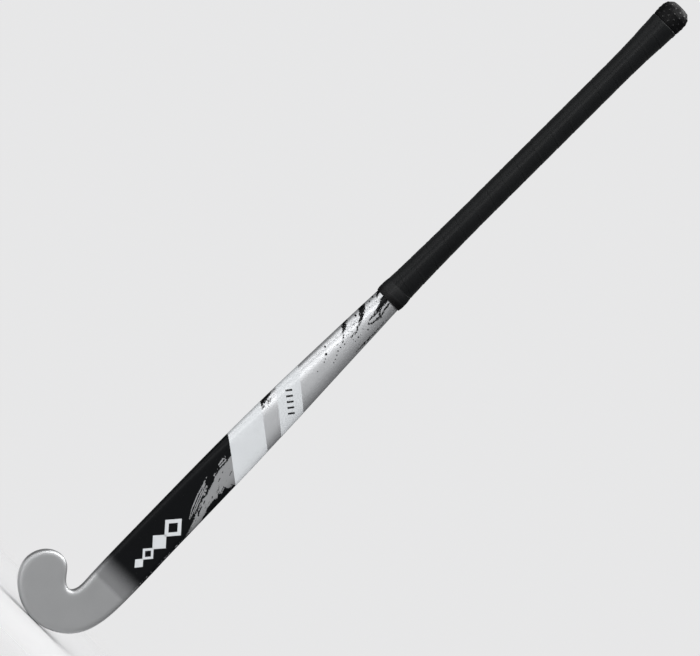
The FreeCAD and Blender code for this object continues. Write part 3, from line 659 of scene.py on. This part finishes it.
def make_paint():
    m = Shader("painted_lacquer")
    x, y, z = m.x, m.y, m.z
    tex = brush_textures(m)
    upper_black = black_marks(m, tex)
    # the black field starts under the lower white band and fades out into the head
    below = (z + x * LOWER_BAND[2]).step(-640.0, -641.0)
    depth = z + m.noise(scale=0.9, detail=4.0, rough=0.7).swing(5.0)
    fade = depth.step(-850.5, -844.5) * 0.5 + depth.step(-846.0, -819.0) * 0.5
    lower_black = below * fade * (1.0 - silver_marks(m, tex))
    black = lower_black.max(upper_black * (1.0 - below)).clamp()
    # metallic flake, a slow mottle and faint long marks
    flake = m.noise(scale=7.5, detail=2.0, rough=0.6)
    mottle = m.noise(scale=0.035, detail=2.0)
    cloud = m.noise(scale=0.018, detail=2.0, at=m.vec(x + 9.0, y, z * 0.8))
    scratch = m.noise(detail=2.0, at=m.vec(x * 5.0, y * 5.0, z * 0.25))
    brightness = flake.swing(0.14) + mottle.swing(0.12) + cloud.swing(0.14) + 1.0
    head = z.step(-838.0, -852.0)
    # on the head the silver turns to its darker copy, painted shade for the flat face
    silver = m.scaled(m.mix(head, m.mix(below, SILVER, SILVER_BRUSHED), SHADED_SILVER_HEAD), brightness)
    m.surface({
        "Base Color": m.mix(black, silver, BLACK),
        "Metallic": (1.0 - black) * 0.82,
        "Specular IOR Level": (1.0 - black) * 0.37 + 0.08,
        "Roughness": (1.0 - black) * 0.04 + 0.40 + flake.swing(0.10) + scratch.swing(0.06),
        "Coat Weight": (1.0 - black) * 0.12 + 0.06,
        "Coat Roughness": mottle.swing(0.06) + 0.20,
    })
    m.bump(flake.swing(0.35) + black * 0.5 + mottle.swing(0.6), strength=0.35, distance=0.00004)
    return m.material


# ---------------------------------------------------------------------------
# Other materials
# ---------------------------------------------------------------------------
def make_white():
    m = Shader("white_film")
    slow = m.noise(scale=0.05)
    fine = m.noise(scale=3.0, rough=0.6)
    m.surface({
        "Base Color": m.mix(slow.spread(0.8), srgb(196, 199, 202), srgb(204, 207, 209)),
        "Roughness": fine.swing(0.10) + 0.34,
        "Coat Weight": 0.35,
        "Coat Roughness": 0.12,
    })
    m.bump(fine, strength=0.12, distance=0.00003)
    return m.material


def make_dark():
    m = Shader("dark_film")
    fine = m.noise(scale=2.4, rough=0.6)
    m.surface({
        "Base Color": m.mix(fine, srgb(14, 16, 18), srgb(22, 24, 26)),
        "Roughness": fine.swing(0.15) + 0.36,
        "Coat Weight": 0.35,
    })
    m.bump(fine, strength=0.12, distance=0.00003)
    return m.material


def make_grip():
    m = Shader("cushion_grip")
    pores = m.voronoi(1.9)
    grain = m.noise(scale=1.25, detail=5.0, rough=0.62)
    fine = m.noise(scale=4.6, rough=0.6)
    slow = m.noise(scale=0.028, rough=0.55)
    crease = m.noise(rough=0.55, at=m.vec(m.x * 0.25, m.y * 0.25, m.z * 0.9))
    m.surface({
        "Base Color": m.mix(grain.swing(1.3) + slow.swing(0.9) + 0.5,
                            srgb(13, 14, 15), srgb(23, 24, 25)),
        "Roughness": grain.swing(0.18) + slow.swing(0.14) + 0.37,
        "Specular IOR Level": 0.13,
        "Sheen Weight": 0.03,
        "Sheen Roughness": 0.5,
    })
    m.bump(pores.step(0.0, 0.55) * 0.55 + grain * 0.7 + fine * 0.25 + crease * 0.8,
           strength=0.42, distance=0.00010)
    return m.material


def make_tape():
    m = Shader("stretch_tape")
    lines = m.noise(detail=4.0, rough=0.6, at=m.vec(m.x * 0.12, m.y * 0.12, m.z * 1.6))
    fine = m.noise(scale=3.2, rough=0.6)
    # the rolled lower rim is coloured darker: painted shade where the tape curls in under itself
    lower = m.z.step(-424.5, -427.5)
    colour = m.mix(fine, srgb(15, 16, 17), srgb(24, 25, 26))
    m.surface({
        "Base Color": m.mix(lower, colour, srgb(9, 9, 10)),
        "Roughness": lines.swing(0.2) + 0.46,
        "Specular IOR Level": 0.22,
    })
    m.bump(lines * 1.0 + fine * 0.25, strength=0.5, distance=0.00014)
    return m.material


# Stud rows on the butt cap: height, count, cap radius there, steepness of the surface
STUD_ROWS = ((-1.35, 10, 10.0, 0.52), (-5.3, 14, 14.1, 0.78), (-10.4, 14, 16.25, 1.0),
             (-15.6, 14, 16.3, 1.0), (-20.3, 14, 16.3, 1.0))
STUD_RADIUS, STUD_HEIGHT = 1.35, 0.42
STUD_TURN = 0.42        # radians; alternate rows are half a pitch further on


def make_cap():
    m = Shader("moulded_rubber")
    fine = m.noise(scale=3.4, detail=4.0, rough=0.62)
    slow = m.noise(scale=0.12)
    angle = m.y.op("ARCTAN2", m.x)
    # the studs' crowns are shinier
    crown = None
    for row, (height, count, radius, steepness) in enumerate(STUD_ROWS):
        # the added 10 keeps the count positive
        turns = (angle + STUD_TURN) * (count / TURN) + (0.5 - 0.5 * (row % 2)) + 10.0
        around = turns.frac().swing(TURN / count * radius)
        down = (m.z - height) * (1 / steepness)
        stud = (1.0 - (around * around + down * down).sqrt() * (1 / STUD_RADIUS)).clamp()
        crown = stud if crown is None else crown.max(stud)
    crown = crown.step(0.05, 0.7)
    m.surface({
        "Base Color": m.mix(slow, srgb(9, 9, 10), srgb(15, 15, 16)),
        "Roughness": fine.swing(0.12) + 0.44 - crown * 0.24,
        "Specular IOR Level": crown * 0.34 + 0.08,
    })
    m.bump(fine, strength=0.12, distance=0.00004)
    return m.material


def make_wood(name, dark, light, ring_scale, offset):
    m = Shader(name)
    x, y, z = m.x, m.y, m.z
    drift = m.noise(scale=0.02, detail=2.0, at=m.vec(x + offset, y, z * 0.25))
    rings = ((y * 0.55 + x * 0.25 + drift * 9.0) * ring_scale).sin() * 0.5 + 0.5
    fibre = m.noise(detail=5.0, rough=0.65, at=m.vec(x * 2.2 + offset, y * 2.2, z * 0.05))
    pores = m.noise(rough=0.6, at=m.vec(x * 4.5, y * 4.5 + offset, z * 0.12))
    m.surface({
        "Base Color": m.mix(rings * 0.45 + fibre * 0.55, dark, light),
        "Roughness": fibre.swing(0.25) + 0.55,
    })
    m.bump(fibre * 0.6 + pores.step(0.62, 0.7) * -0.5 + rings * 0.2,
           strength=0.4, distance=0.0002)
    return m.material


def make_fibre(name, tint, pitch, coat):
    m = Shader(name)
    around = m.x.op("ARCTAN2", m.y)
    rising = ((m.z + around * 9.0) * (math.pi / pitch)).sin()
    falling = ((m.z - around * 9.0) * (math.pi / pitch)).sin()
    weave = (rising * falling) * 0.5 + 0.5
    filament = m.noise(rough=0.6, at=m.vec(m.x * 6, m.y * 6, m.z * 0.8))
    slow = m.noise(scale=0.04, detail=2.0)
    shade = tuple(channel * 0.62 for channel in tint)
    m.surface({
        "Base Color": m.mix(weave * 0.5 + filament * 0.3 + slow * 0.2, shade, tint),
        "Roughness": weave.swing(0.2) + 0.38,
        "Coat Weight": coat,
    })
    m.bump(weave * 0.8 + filament * 0.2, strength=0.4, distance=0.00025)
    return m.material


def make_rubber():
    m = Shader("shock_rubber")
    fine = m.noise(scale=1.6, detail=4.0, rough=0.6)
    slow = m.noise(scale=0.05, detail=2.0)
    m.surface({
        "Base Color": m.mix(slow, srgb(20, 20, 21), srgb(34, 33, 32)),
        "Roughness": fine.swing(0.2) + 0.7,
    })
    m.bump(fine, strength=0.35, distance=0.0002)
    return m.material


def make_adhesive():
    m = Shader("adhesive_tape")
    scrim = ((m.x * 4.0).sin() * (m.z * 4.0).sin()) * 0.5 + 0.5
    fine = m.noise(scale=0.8, detail=4.0, rough=0.6)
    m.surface({
        "Base Color": m.mix(fine * 0.7 + scrim * 0.3, srgb(188, 180, 158), srgb(214, 208, 190)),
        "Roughness": fine.swing(0.25) + 0.5,
    })
    m.bump(scrim * 0.5 + fine * 0.5, strength=0.3, distance=0.00015)
    return m.material


PAINT, WHITE, DARK, GRIP = make_paint(), make_white(), make_dark(), make_grip()
TAPE, CAP = make_tape(), make_cap()
WOOD_DARK = make_wood("lamina_dark", srgb(128, 88, 50), srgb(168, 122, 74),
                      ring_scale=1.1, offset=3.0)
WOOD_LIGHT = make_wood("lamina_light", srgb(160, 120, 76), srgb(198, 158, 108),
                       ring_scale=1.3, offset=11.0)
WOOD_HANDLE = make_wood("handle_wood", srgb(182, 148, 100), srgb(214, 182, 134),
                        ring_scale=0.9, offset=19.0)
SLEEVE = make_fibre("glass_sleeve", srgb(186, 192, 180), pitch=3.2, coat=0.5)
GLASS = make_fibre("glass_tape", srgb(206, 210, 200), pitch=2.0, coat=0.2)
RUBBER, ADHESIVE = make_rubber(), make_adhesive()

CORE_MATERIALS = {"head_lamina_%d" % k: WOOD_DARK if k % 2 else WOOD_LIGHT for k in range(1, 8)}
CORE_MATERIALS.update({
    "handle_centre_stave": WOOD_HANDLE, "handle_side_stave_toe_side": WOOD_HANDLE,
    "handle_side_stave_heel_side": WOOD_HANDLE, "rubber_strip_toe_side": RUBBER,
    "rubber_strip_heel_side": RUBBER, "splice_binding": GLASS,
    "face_reinforcement_strip": GLASS, "back_reinforcement_strip": GLASS,
    "glass_fibre_sleeve": SLEEVE, "grip_base_tape": ADHESIVE,
})


def dress_core():
    """Gives the CAD pieces that are kept their materials."""
    for name, material in CORE_MATERIALS.items():
        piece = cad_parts[name]
        # a CAD piece may come without a material slot
        if not piece.material_slots:
            piece.data.materials.append(material)
        for slot in piece.material_slots:
            slot.material = material


# ---------------------------------------------------------------------------
# Painted shaft and head, with the film marks on them
# ---------------------------------------------------------------------------
def build_shaft():
    """A closed thin skin, open inside, from under the grip to the toe."""
    count = RING_POINTS
    outer, outer_tip = body_rings(0.0, step=1.9, per_station=4)
    inner, inner_tip = body_rings(SKIN_THICKNESS, step=6.0, per_station=2)
    verts = np.concatenate(outer + [outer_tip[None]] + inner + [inner_tip[None]])
    tip = len(outer) * count
    base = tip + 1
    far_tip = base + len(inner) * count
    last, inner_last = tip - count, far_tip - count
    faces = loft(len(outer), count)
    faces += [(last + j, tip, last + (j + 1) % count) for j in range(count)]
    faces += loft(len(inner), count, base, flip=True)
    faces += [(inner_last + (j + 1) % count, far_tip, inner_last + j) for j in range(count)]
    faces += bridge(0, base, count, flip=True)
    add_piece("painted_shaft", verts, faces, PAINT, "painted_finish", "paint")


def build_bands():
    """White bands: thin rings cut on a slant."""
    heights = np.arange(-520.0, -722.0, -1.0)
    stacks = [np.stack([level_ring(z, inset) for z in heights]) for inset in FILM]
    column = np.arange(RING_POINTS)
    slices = 26

    def points_at(stack, z):
        """Point of every column of the stack at its own height."""
        place = np.clip(heights[0] - z, 0, len(heights) - 1.001)
        k = np.floor(place).astype(int)
        t = (place - k)[..., None]
        return stack[k, column] * (1 - t) + stack[k + 1, column] * t

    def slanted_ring(stack, middle, slope):
        z = np.full(RING_POINTS, middle)
        # a point's x depends on its height, so close in on the cut
        for _ in range(8):
            z = middle - slope * points_at(stack, z)[:, 0]
        return points_at(stack, z)

    for name, node, (top, bottom, slope) in (
            ("lower_white_band", "white_band_lower", LOWER_BAND),
            ("upper_white_band", "white_band_upper", UPPER_BAND)):
        middles = [top + (bottom - top) * k / slices for k in range(slices + 1)]
        sheets = [np.array([slanted_ring(stack, middle, slope) for middle in middles])
                  for stack in stacks]
        add_piece(name, *sleeve(*sheets), WHITE, node, "white_film", sharp=True)


def on_face(point, inset):
    """Point of the playing face at (x, z), drawn in by inset."""
    x, z = point
    width = half_width(z) - inset
    depth, _, power, _ = section_at(z)
    depth = depth - inset
    round_part = np.maximum(0, 1 - np.minimum(np.abs(x / width), 0.9999) ** power) ** (1 / power)
    y = bow(z) - smooth_min(depth * round_part, depth - face_lift(z), FACE_BLEND)
    return (x, float(y), z)


def add_plate(verts, faces, corners, insets, rows, columns):
    """Adds a thin closed plate over a four-sided outline (x, z) on the playing face."""
    c = np.array(corners, float)
    base, width = len(verts), columns + 1
    for inset in insets:
        for i in range(rows + 1):
            for k in range(width):
                s, t = i / rows, k / columns
                point = ((1 - s) * (1 - t) * c[0] + s * (1 - t) * c[1]
                         + s * t * c[2] + (1 - s) * t * c[3])
                verts.append(on_face(point, inset))
    under = (rows + 1) * width
    for i in range(rows):
        for k in range(columns):
            a = base + i * width + k
            b = a + under
            faces.append((a, a + width, a + width + 1, a + 1))
            faces.append((b + 1, b + width + 1, b + width, b))
    first_row = [base + k for k in range(width)]
    last_row = [base + rows * width + k for k in range(width)]
    first_column = [base + i * width for i in range(rows + 1)]
    last_column = [base + i * width + columns for i in range(rows + 1)]
    for rim in (first_row, last_row[::-1], first_column[::-1], last_column):
        faces.extend((p, q, q + under, p + under) for p, q in zip(rim[:-1], rim[1:]))


def add_open_plate(verts, faces, outline, hole, insets, per_side=10, rows=4):
    """Adds a thin closed plate between an outer and an inner four-sided outline."""
    outline, hole = np.array(outline, float), np.array(hole, float)
    base, width = len(verts), 4 * per_side
    for inset in insets:
        for k in range(rows + 1):
            for j in range(width):
                side, t = j // per_side, (j % per_side) / per_side
                outer, inner = ((1 - t) * corners[side] + t * corners[(side + 1) % 4]
                                for corners in (outline, hole))
                verts.append(on_face(outer + (inner - outer) * k / rows, inset))
    under = (rows + 1) * width
    for k in range(rows):
        for j in range(width):
            a, b = base + k * width + j, base + k * width + (j + 1) % width
            faces.append((a, b, b + width, a + width))
            faces.append((a + under, a + width + under, b + width + under, b + under))
    faces += bridge(base, base + under, width)
    edge = base + rows * width
    for j in range(width):
        a, b = edge + j, edge + (j + 1) % width
        faces.append((a, b, b + under, a + under))


def build_diamonds():
    verts, faces = [], []
    for z, half_wide, half_high, is_open in DIAMONDS:
        def corners(scale):
            wide, high = half_wide * scale, half_high * scale
            return [(DIAMOND_X - wide, z), (DIAMOND_X, z - high),
                    (DIAMOND_X + wide, z), (DIAMOND_X, z + high)]
        if is_open:
            add_open_plate(verts, faces, corners(1), corners(DIAMOND_HOLE), FILM)
        else:
            add_plate(verts, faces, corners(1), FILM, rows=8, columns=8)
    add_piece("shaft_diamonds", verts, faces, WHITE, "plain_diamond_marks", "white_film",
              sharp=True)


def build_dashes():
    """A row of dark dashes along the middle of the upper band."""
    top, bottom, slope = UPPER_BAND
    verts, faces = [], []
    for k in range(DASH_COUNT):
        x = DASH_FIRST_X + DASH_PITCH * k
        z = (top + bottom) / 2 - slope * x
        corners = [(x + dx, z + dz) for dx, dz in DASH_CORNERS]
        add_plate(verts, faces, corners, FILM_ON_FILM, rows=3, columns=6)
    add_piece("band_dashes", verts, faces, DARK, "band_dash_marks", "dark_film", sharp=True)


# ---------------------------------------------------------------------------
# Handle: grip wrap, finishing tape, butt cap
# ---------------------------------------------------------------------------
CAP_RIM = -24.0
GRIP_TOP, GRIP_BOTTOM = CAP_RIM - 0.02, -418.0
GRIP_THICKNESS, GRIP_GAP = 1.42, 0.06   # the gap lies between the grip and the handle
# heights of the overlap ridges where the wrap passes WRAP_START
RIDGES = np.array([
    -3.0, -24.0, -42.0, -59.5, -80.0, -101.5, -124.0, -146.0, -167.5, -190.0, -214.0,
    -238.5, -260.0, -281.5, -303.0, -325.0, -346.5, -367.5, -389.0, -408.0, -427.0, -446.0])
WRAP_PITCH = 21.4
WRAP_START = math.radians(-103.0)
HANDLE_ANGLES = np.linspace(0, TURN, 192, endpoint=False)

TAPE_TOP, TAPE_LENGTH, TAPE_END = -414.6, 17.2, -432.0
TAPE_INSET = -1.62      # of the tape where it lies on the grip
TAPE_ROLL_TOP, TAPE_ROLL_LENGTH = -424.5, 7.3

CAP_RADIUS = 16.3
CAP_POINTS = 384
CAVITY_TOP, CAVITY_BOTTOM, CAVITY_ROWS, CAVITY_INSET = -7.45, -23.95, 14, 0.13


def handle_surface(z, angle, inset):
    """Points on the handle's section at heights and angles, drawn in by inset."""
    width = half_width(z) - inset
    face_depth, back_depth, face_power, back_power = section_at(z)
    c, s = np.cos(angle), np.sin(angle)
    power = np.where(s < 0, face_power, back_power)
    depth = np.where(s < 0, face_depth, back_depth) - inset
    x = width * np.sign(c) * np.abs(c) ** (2 / power)
    y = depth * np.sign(s) * np.abs(s) ** (2 / power)
    return np.stack([x, bow(z) + y, z], -1)


def handle_grid(heights, angles=HANDLE_ANGLES):
    return np.meshgrid(heights, angles, indexing="ij")


def wrap_height(z, angle):
    """Height of the wrapped grip's surface above its mean, with its overlap ridges."""
    turned = (angle - WRAP_START + math.pi) % TURN - math.pi
    spiral = z + WRAP_PITCH * turned / TURN
    spiral = spiral + 0.55 * wobble(angle * 1.0 + z * 0.012, z * 0.05, seed=5, octaves=2)
    index = np.interp(-spiral, -RIDGES, np.arange(len(RIDGES)))
    part = index - np.floor(index)
    k = np.clip(np.floor(index).astype(int), 0, len(RIDGES) - 2)
    gap = -np.diff(RIDGES)[k]
    # distances down from the ridge above, and up from the ridge below
    past, ahead = part * gap, (1 - part) * gap
    size = 1.0 + 0.35 * wobble(z * 0.03 + 5.0, angle * 0.9, seed=9, octaves=2)
    ripple = wobble(z * 0.2, angle * 2.0, seed=21, octaves=2)
    height = (0.17 * size * np.exp(-((ahead - 1.35) / 1.1) ** 2)
              - 0.06 * size * np.exp(-(np.minimum(past, ahead) / 0.50) ** 2)
              - 0.08 * size * np.exp(-(past / 1.9) ** 2)
              + 0.13 * np.sin(np.pi * part)
              + 0.11 * np.exp(-((ahead - 4.2) / 1.4) ** 2) * ripple)
    return height + 0.035 * wobble(z * 0.22, angle * 3.2, seed=33, octaves=3)


def build_grip():
    # close rows shape the rounded top edge
    heights = np.concatenate([[GRIP_TOP, -24.1, -24.25, -24.45, -24.7],
                              np.arange(-25.1, GRIP_BOTTOM, -0.55)])
    z, angle = handle_grid(heights)
    rounding = np.clip((GRIP_TOP - z) / 0.9, 0, 1) ** 0.5
    swell = 0.50 * np.exp(-((CAP_RIM - z) / 7.0) ** 2)
    inset = (-GRIP_GAP - (GRIP_THICKNESS + wrap_height(z, angle)) * (0.72 + 0.28 * rounding)
             - swell * (0.4 + 0.6 * rounding))
    outer = handle_surface(z, angle, inset)
    inner = handle_surface(*handle_grid(np.linspace(GRIP_TOP, GRIP_BOTTOM, 60)), -GRIP_GAP)
    add_piece("grip", *sleeve(outer, inner), GRIP, "grip_wrap", "grip")


def build_finishing_tape():
    """Tape over the grip's lower end, with a step at its upper edge and a rolled lower one."""
    profile = []
    for t in np.linspace(0, 1, 40):
        z = TAPE_TOP - t * TAPE_LENGTH
        rise = np.clip(t / 0.30, 0, 1)
        inset = TAPE_INSET - 0.05 * np.clip(t / 0.02, 0, 1) - 0.42 * rise * rise * (3 - 2 * rise)
        if t < 0.6:
            inset = inset - 0.10 * math.sin(math.pi * t / 0.6)
        if z < TAPE_ROLL_TOP:
            inset = inset + 1.15 * ((TAPE_ROLL_TOP - z) / TAPE_ROLL_LENGTH) ** 2.2
        profile.append((z, inset))
    profile += [(-431.95, -0.75), (TAPE_END, -0.3)]
    heights, insets = np.array(profile).T
    z, angle = handle_grid(heights)
    # the tape's loose end laps over itself along a seam
    seam = np.mod(angle - 1.25 - (z + 420) * 0.02, TURN)
    lap = 0.22 * np.clip(seam / 0.05, 0, 1) * np.clip((0.9 - seam) / 0.75, 0, 1)
    crease = 0.06 * np.exp(-((z + 424.2 + 0.5 * np.sin(angle * 2)) / 0.5) ** 2)
    wrinkles = 0.05 * wobble(z * 0.55, angle * 1.6, seed=44, octaves=3) - crease
    relief = np.where(z > -431.5, lap + wrinkles, 0)
    outer = handle_surface(z, angle, insets[:, None] - relief)
    z, angle = handle_grid(np.linspace(TAPE_TOP, TAPE_END, 12))
    inner = handle_surface(z, angle, np.where(z > -417.6, TAPE_INSET, -0.03))
    add_piece("finishing_tape", *sleeve(outer, inner), TAPE, "grip_finishing_tape",
              "finishing_tape")


def arc(first, middle, last, count=9):
    """Points after the first on the circle through three points."""
    a, b, c = (complex(*point) for point in (first, middle, last))
    w = (c - a) / (b - a)
    centre = a - (a - b) * (w - abs(w) ** 2) / (2j * w.imag)
    radius = abs(a - centre)
    start, end = (math.atan2((p - centre).imag, (p - centre).real) for p in (a, c))
    angles = [start + (end - start) * i / count for i in range(1, count + 1)]
    return [(centre.real + radius * math.cos(angle), centre.imag + radius * math.sin(angle))
            for angle in angles]


def cap_profile():
    """Radii and heights down the cap's outside, evenly spaced and softened."""
    flat_edge, shoulder = (5.9, 0.0), (12.35, -3.25)
    points = [(0.0, 0.0), flat_edge]
    points += arc(flat_edge, (9.4, -1.02), shoulder)
    points += arc(shoulder, (14.62, -6.1), (CAP_RADIUS, -10.6))
    points += [(CAP_RADIUS, z) for z in (-14.0, -18.0, -20.9)]
    points += [(16.18, -22.4), (15.9, -23.4), (15.55, CAVITY_BOTTOM)]
    points = np.array(points)
    length = np.concatenate([[0], np.cumsum(np.hypot(*np.diff(points, axis=0).T))])
    s = np.arange(0.5, length[-1], 0.3)
    curves = [np.interp(s, length, points[:, k]) for k in (0, 1)]
    for curve in curves:
        for _ in range(3):
            curve[1:-1] = (curve[:-2] + 2 * curve[1:-1] + curve[2:]) / 4
    return curves


def build_cap():
    """Turned butt cap with raised studs and a cavity for the handle's end."""
    radii, heights = cap_profile()
    count = CAP_POINTS
    angles = np.linspace(0, TURN, count, endpoint=False)
    d_radius, d_height = np.gradient(radii), np.gradient(heights)
    length = np.hypot(d_radius, d_height)
    radius, angle = np.meshgrid(radii, angles, indexing="ij")
    z = np.repeat(heights[:, None], count, 1)
    surface = np.stack([radius * np.cos(angle), radius * np.sin(angle), z], -1)
    outward, upward = (-d_height / length)[:, None], (d_radius / length)[:, None]
    normals = np.stack([outward * np.cos(angle), outward * np.sin(angle),
                        np.repeat(upward, count, 1)], -1)
    relief = np.zeros_like(radius)
    for row, (stud_z, studs, _, _) in enumerate(STUD_ROWS):
        # nearest profile point, leaving out the flat top
        k = int(np.argmin(np.abs(heights - stud_z) + (radii < 9) * 50))
        for i in range(studs):
            turn = TURN * (i + 0.5 * (row % 2)) / studs - STUD_TURN
            centre = np.array([radii[k] * math.cos(turn), radii[k] * math.sin(turn), heights[k]])
            reach = np.linalg.norm(surface - centre, axis=-1) / STUD_RADIUS
            relief = np.maximum(relief, STUD_HEIGHT * np.sqrt(np.maximum(0, 1 - reach ** 2)))
    top_groove = -0.18 * np.exp(-((radius - 5.0) / 0.35) ** 2) * (z > -0.5)
    rim_groove = -0.16 * np.exp(-((z + 22.0) / 0.25) ** 2) * (radius > 15)
    outside = surface + normals * (relief + top_groove + rim_groove)[..., None]
    cavity_heights = np.linspace(CAVITY_BOTTOM, CAVITY_TOP, CAVITY_ROWS)
    cavity = handle_surface(*handle_grid(cavity_heights, angles), CAVITY_INSET)
    verts = np.concatenate([outside.reshape(-1, 3), cavity.reshape(-1, 3),
                            [[0, 0, heights[0]], [0, 0, CAVITY_TOP]]])
    base = len(radii) * count
    top = base + CAVITY_ROWS * count
    roof_ring = top - count
    faces = loft(len(radii), count)
    faces += [(j, (j + 1) % count, top) for j in range(count)]
    faces += loft(CAVITY_ROWS, count, base)
    faces += bridge(base - count, base, count)
    faces += [(roof_ring + j, roof_ring + (j + 1) % count, top + 1) for j in range(count)]
    add_piece("butt_cap_studded", verts, faces, CAP, "butt_cap", "cap_rubber")


# ---------------------------------------------------------------------------
# Floor, world, lights, camera (metres)
# ---------------------------------------------------------------------------
LIGHT_CENTRE = Vector((0.0, -0.02, -0.463))
# name, azimuth (0 in front of the face, negative to the toe side), elevation, distance,
# width, height, watts
LIGHTS = [
    ("key_thin", -20, 0, 2.4, 0.3, 2.4, 11.8),
    ("key_strip", -33, 0, 2.4, 0.4, 2.4, 7.6),
    ("key_panel", -66, 0, 2.4, 0.5, 2.4, 11.5),
    ("toe_side_strip", -90, 0, 2.3, 0.9, 2.4, 7.5),
    ("front_panel", 10.5, 0, 2.6, 1.0, 2.2, 1.8),
    ("overhead_left", -30, 52, 2.6, 1.4, 1.4, 41),
    ("overhead_right", 25, 55, 2.6, 1.4, 1.4, 45),
    ("behind_left", -150, 62, 2.6, 1.4, 1.4, 30),
    ("behind_right", 135, 62, 2.6, 1.4, 1.4, 50),
]
CAMERA_ROLL = math.radians(44.88)
CAMERA_DISTANCE = 10.0
VIEW_WIDTH = 0.72828    # width the camera takes in at that distance
SENSOR_WIDTH = 36.0


def build_floor():
    """Pale disc that fades to nothing at its rim."""
    bpy.ops.mesh.primitive_circle_add(vertices=96, radius=1.1, fill_type="NGON",
                                      location=(-0.03, -0.035, -0.92672))
    floor = bpy.context.active_object
    floor.name = "floor"
    material = bpy.data.materials.new("pale_floor")
    material.use_nodes = True
    tree = material.node_tree
    principled = find_principled(tree)
    for key, value in (("Base Color", (0.52, 0.52, 0.525)), ("Roughness", 0.85),
                       ("Specular IOR Level", 0.2)):
        feed(tree, principled.inputs[key], value)
    place = add_node(tree, "TexCoord", {}, "Object")
    radius = add_node(tree, "VectorMath", {0: place}, "Value", operation="LENGTH")
    fade = add_node(tree, "MapRange", {"Value": radius, "From Min": 0.10, "From Max": 1.02},
                    "Result", interpolation_type="SMOOTHERSTEP")
    clear = add_node(tree, "BsdfTransparent", {})
    solid = Value(tree, principled.outputs[0])
    output = next(node for node in tree.nodes if node.type == "OUTPUT_MATERIAL")
    feed(tree, output.inputs[0], add_node(tree, "MixShader", {0: fade, 1: solid, 2: clear}))
    floor.data.materials.append(material)


def build_world():
    """Pale to the camera, but only a faint light, brighter from above, to the stick."""
    world = bpy.data.worlds.new("studio")
    bpy.context.scene.world = world
    world.use_nodes = True
    tree = world.node_tree
    tree.nodes.clear()
    backdrop = add_node(tree, "Background", {0: (0.80, 0.80, 0.805)})
    direction = add_node(tree, "TexCoord", {}, "Generated")
    upward = add_node(tree, "SeparateXYZ", {0: direction}, 2)
    strength = add_node(tree, "MapRange", {
        "Value": upward, "From Min": -1, "From Max": 1, "To Min": 0.035, "To Max": 0.07,
    }, "Result", interpolation_type="SMOOTHSTEP")
    fill = add_node(tree, "Background", {0: (0.95, 0.97, 1.0), "Strength": strength})
    seen = add_node(tree, "LightPath", {}, "Is Camera Ray")
    output = tree.nodes.new("ShaderNodeOutputWorld")
    feed(tree, output.inputs[0], add_node(tree, "MixShader", {0: seen, 1: fill, 2: backdrop}))


def add_aimed(name, data, right, up, back, place):
    """Links a light or camera whose local axes are right, up and back."""
    thing = bpy.data.objects.new(name, data)
    bpy.context.scene.collection.objects.link(thing)
    rows = [(right[i], up[i], back[i], place[i]) for i in range(3)]
    thing.matrix_world = Matrix(rows + [(0, 0, 0, 1)])
    return thing


def build_lights():
    """Soft boxes that face the middle of the stick."""
    for name, azimuth, elevation, distance, width, height, watts in LIGHTS:
        a, e = math.radians(azimuth), math.radians(elevation)
        away = Vector((math.sin(a) * math.cos(e), -math.cos(a) * math.cos(e), math.sin(e)))
        place = LIGHT_CENTRE + away * distance
        light = bpy.data.lights.new(name, "AREA")
        light.shape = "RECTANGLE"
        light.size, light.size_y = width, height
        light.energy = watts
        back = (place - LIGHT_CENTRE).normalized()
        right = Vector((0, 0, 1)).cross(back).normalized()
        add_aimed(name, light, right, back.cross(right), back, place)


def build_camera():
    """Long lens, rolled so that the stick lies across the picture's diagonal."""
    forward = Vector((math.sin(VIEW_YAW), math.cos(VIEW_YAW), 0))
    level = Vector((math.cos(VIEW_YAW), -math.sin(VIEW_YAW), 0))
    vertical = Vector((0, 0, 1))
    right = vertical * math.cos(CAMERA_ROLL) + level * math.sin(CAMERA_ROLL)
    up = vertical * math.sin(CAMERA_ROLL) - level * math.cos(CAMERA_ROLL)
    aim = level * (-7.1 * MM) + vertical * (-480.3 * MM) + forward * (-0.02)
    data = bpy.data.cameras.new("camera")
    data.sensor_width = SENSOR_WIDTH
    data.lens = SENSOR_WIDTH * CAMERA_DISTANCE / VIEW_WIDTH
    data.clip_start, data.clip_end = 0.1, 60.0
    place = aim - forward * CAMERA_DISTANCE
    bpy.context.scene.camera = add_aimed("camera", data, right, up, -forward, place)


dress_core()
build_shaft()
build_bands()
build_diamonds()
build_dashes()
build_grip()
build_finishing_tape()
build_cap()
build_floor()
build_world()
build_lights()
build_camera()
bpy.context.scene.view_settings.view_transform = "Standard"
bpy.context.scene.view_settings.look = "None"
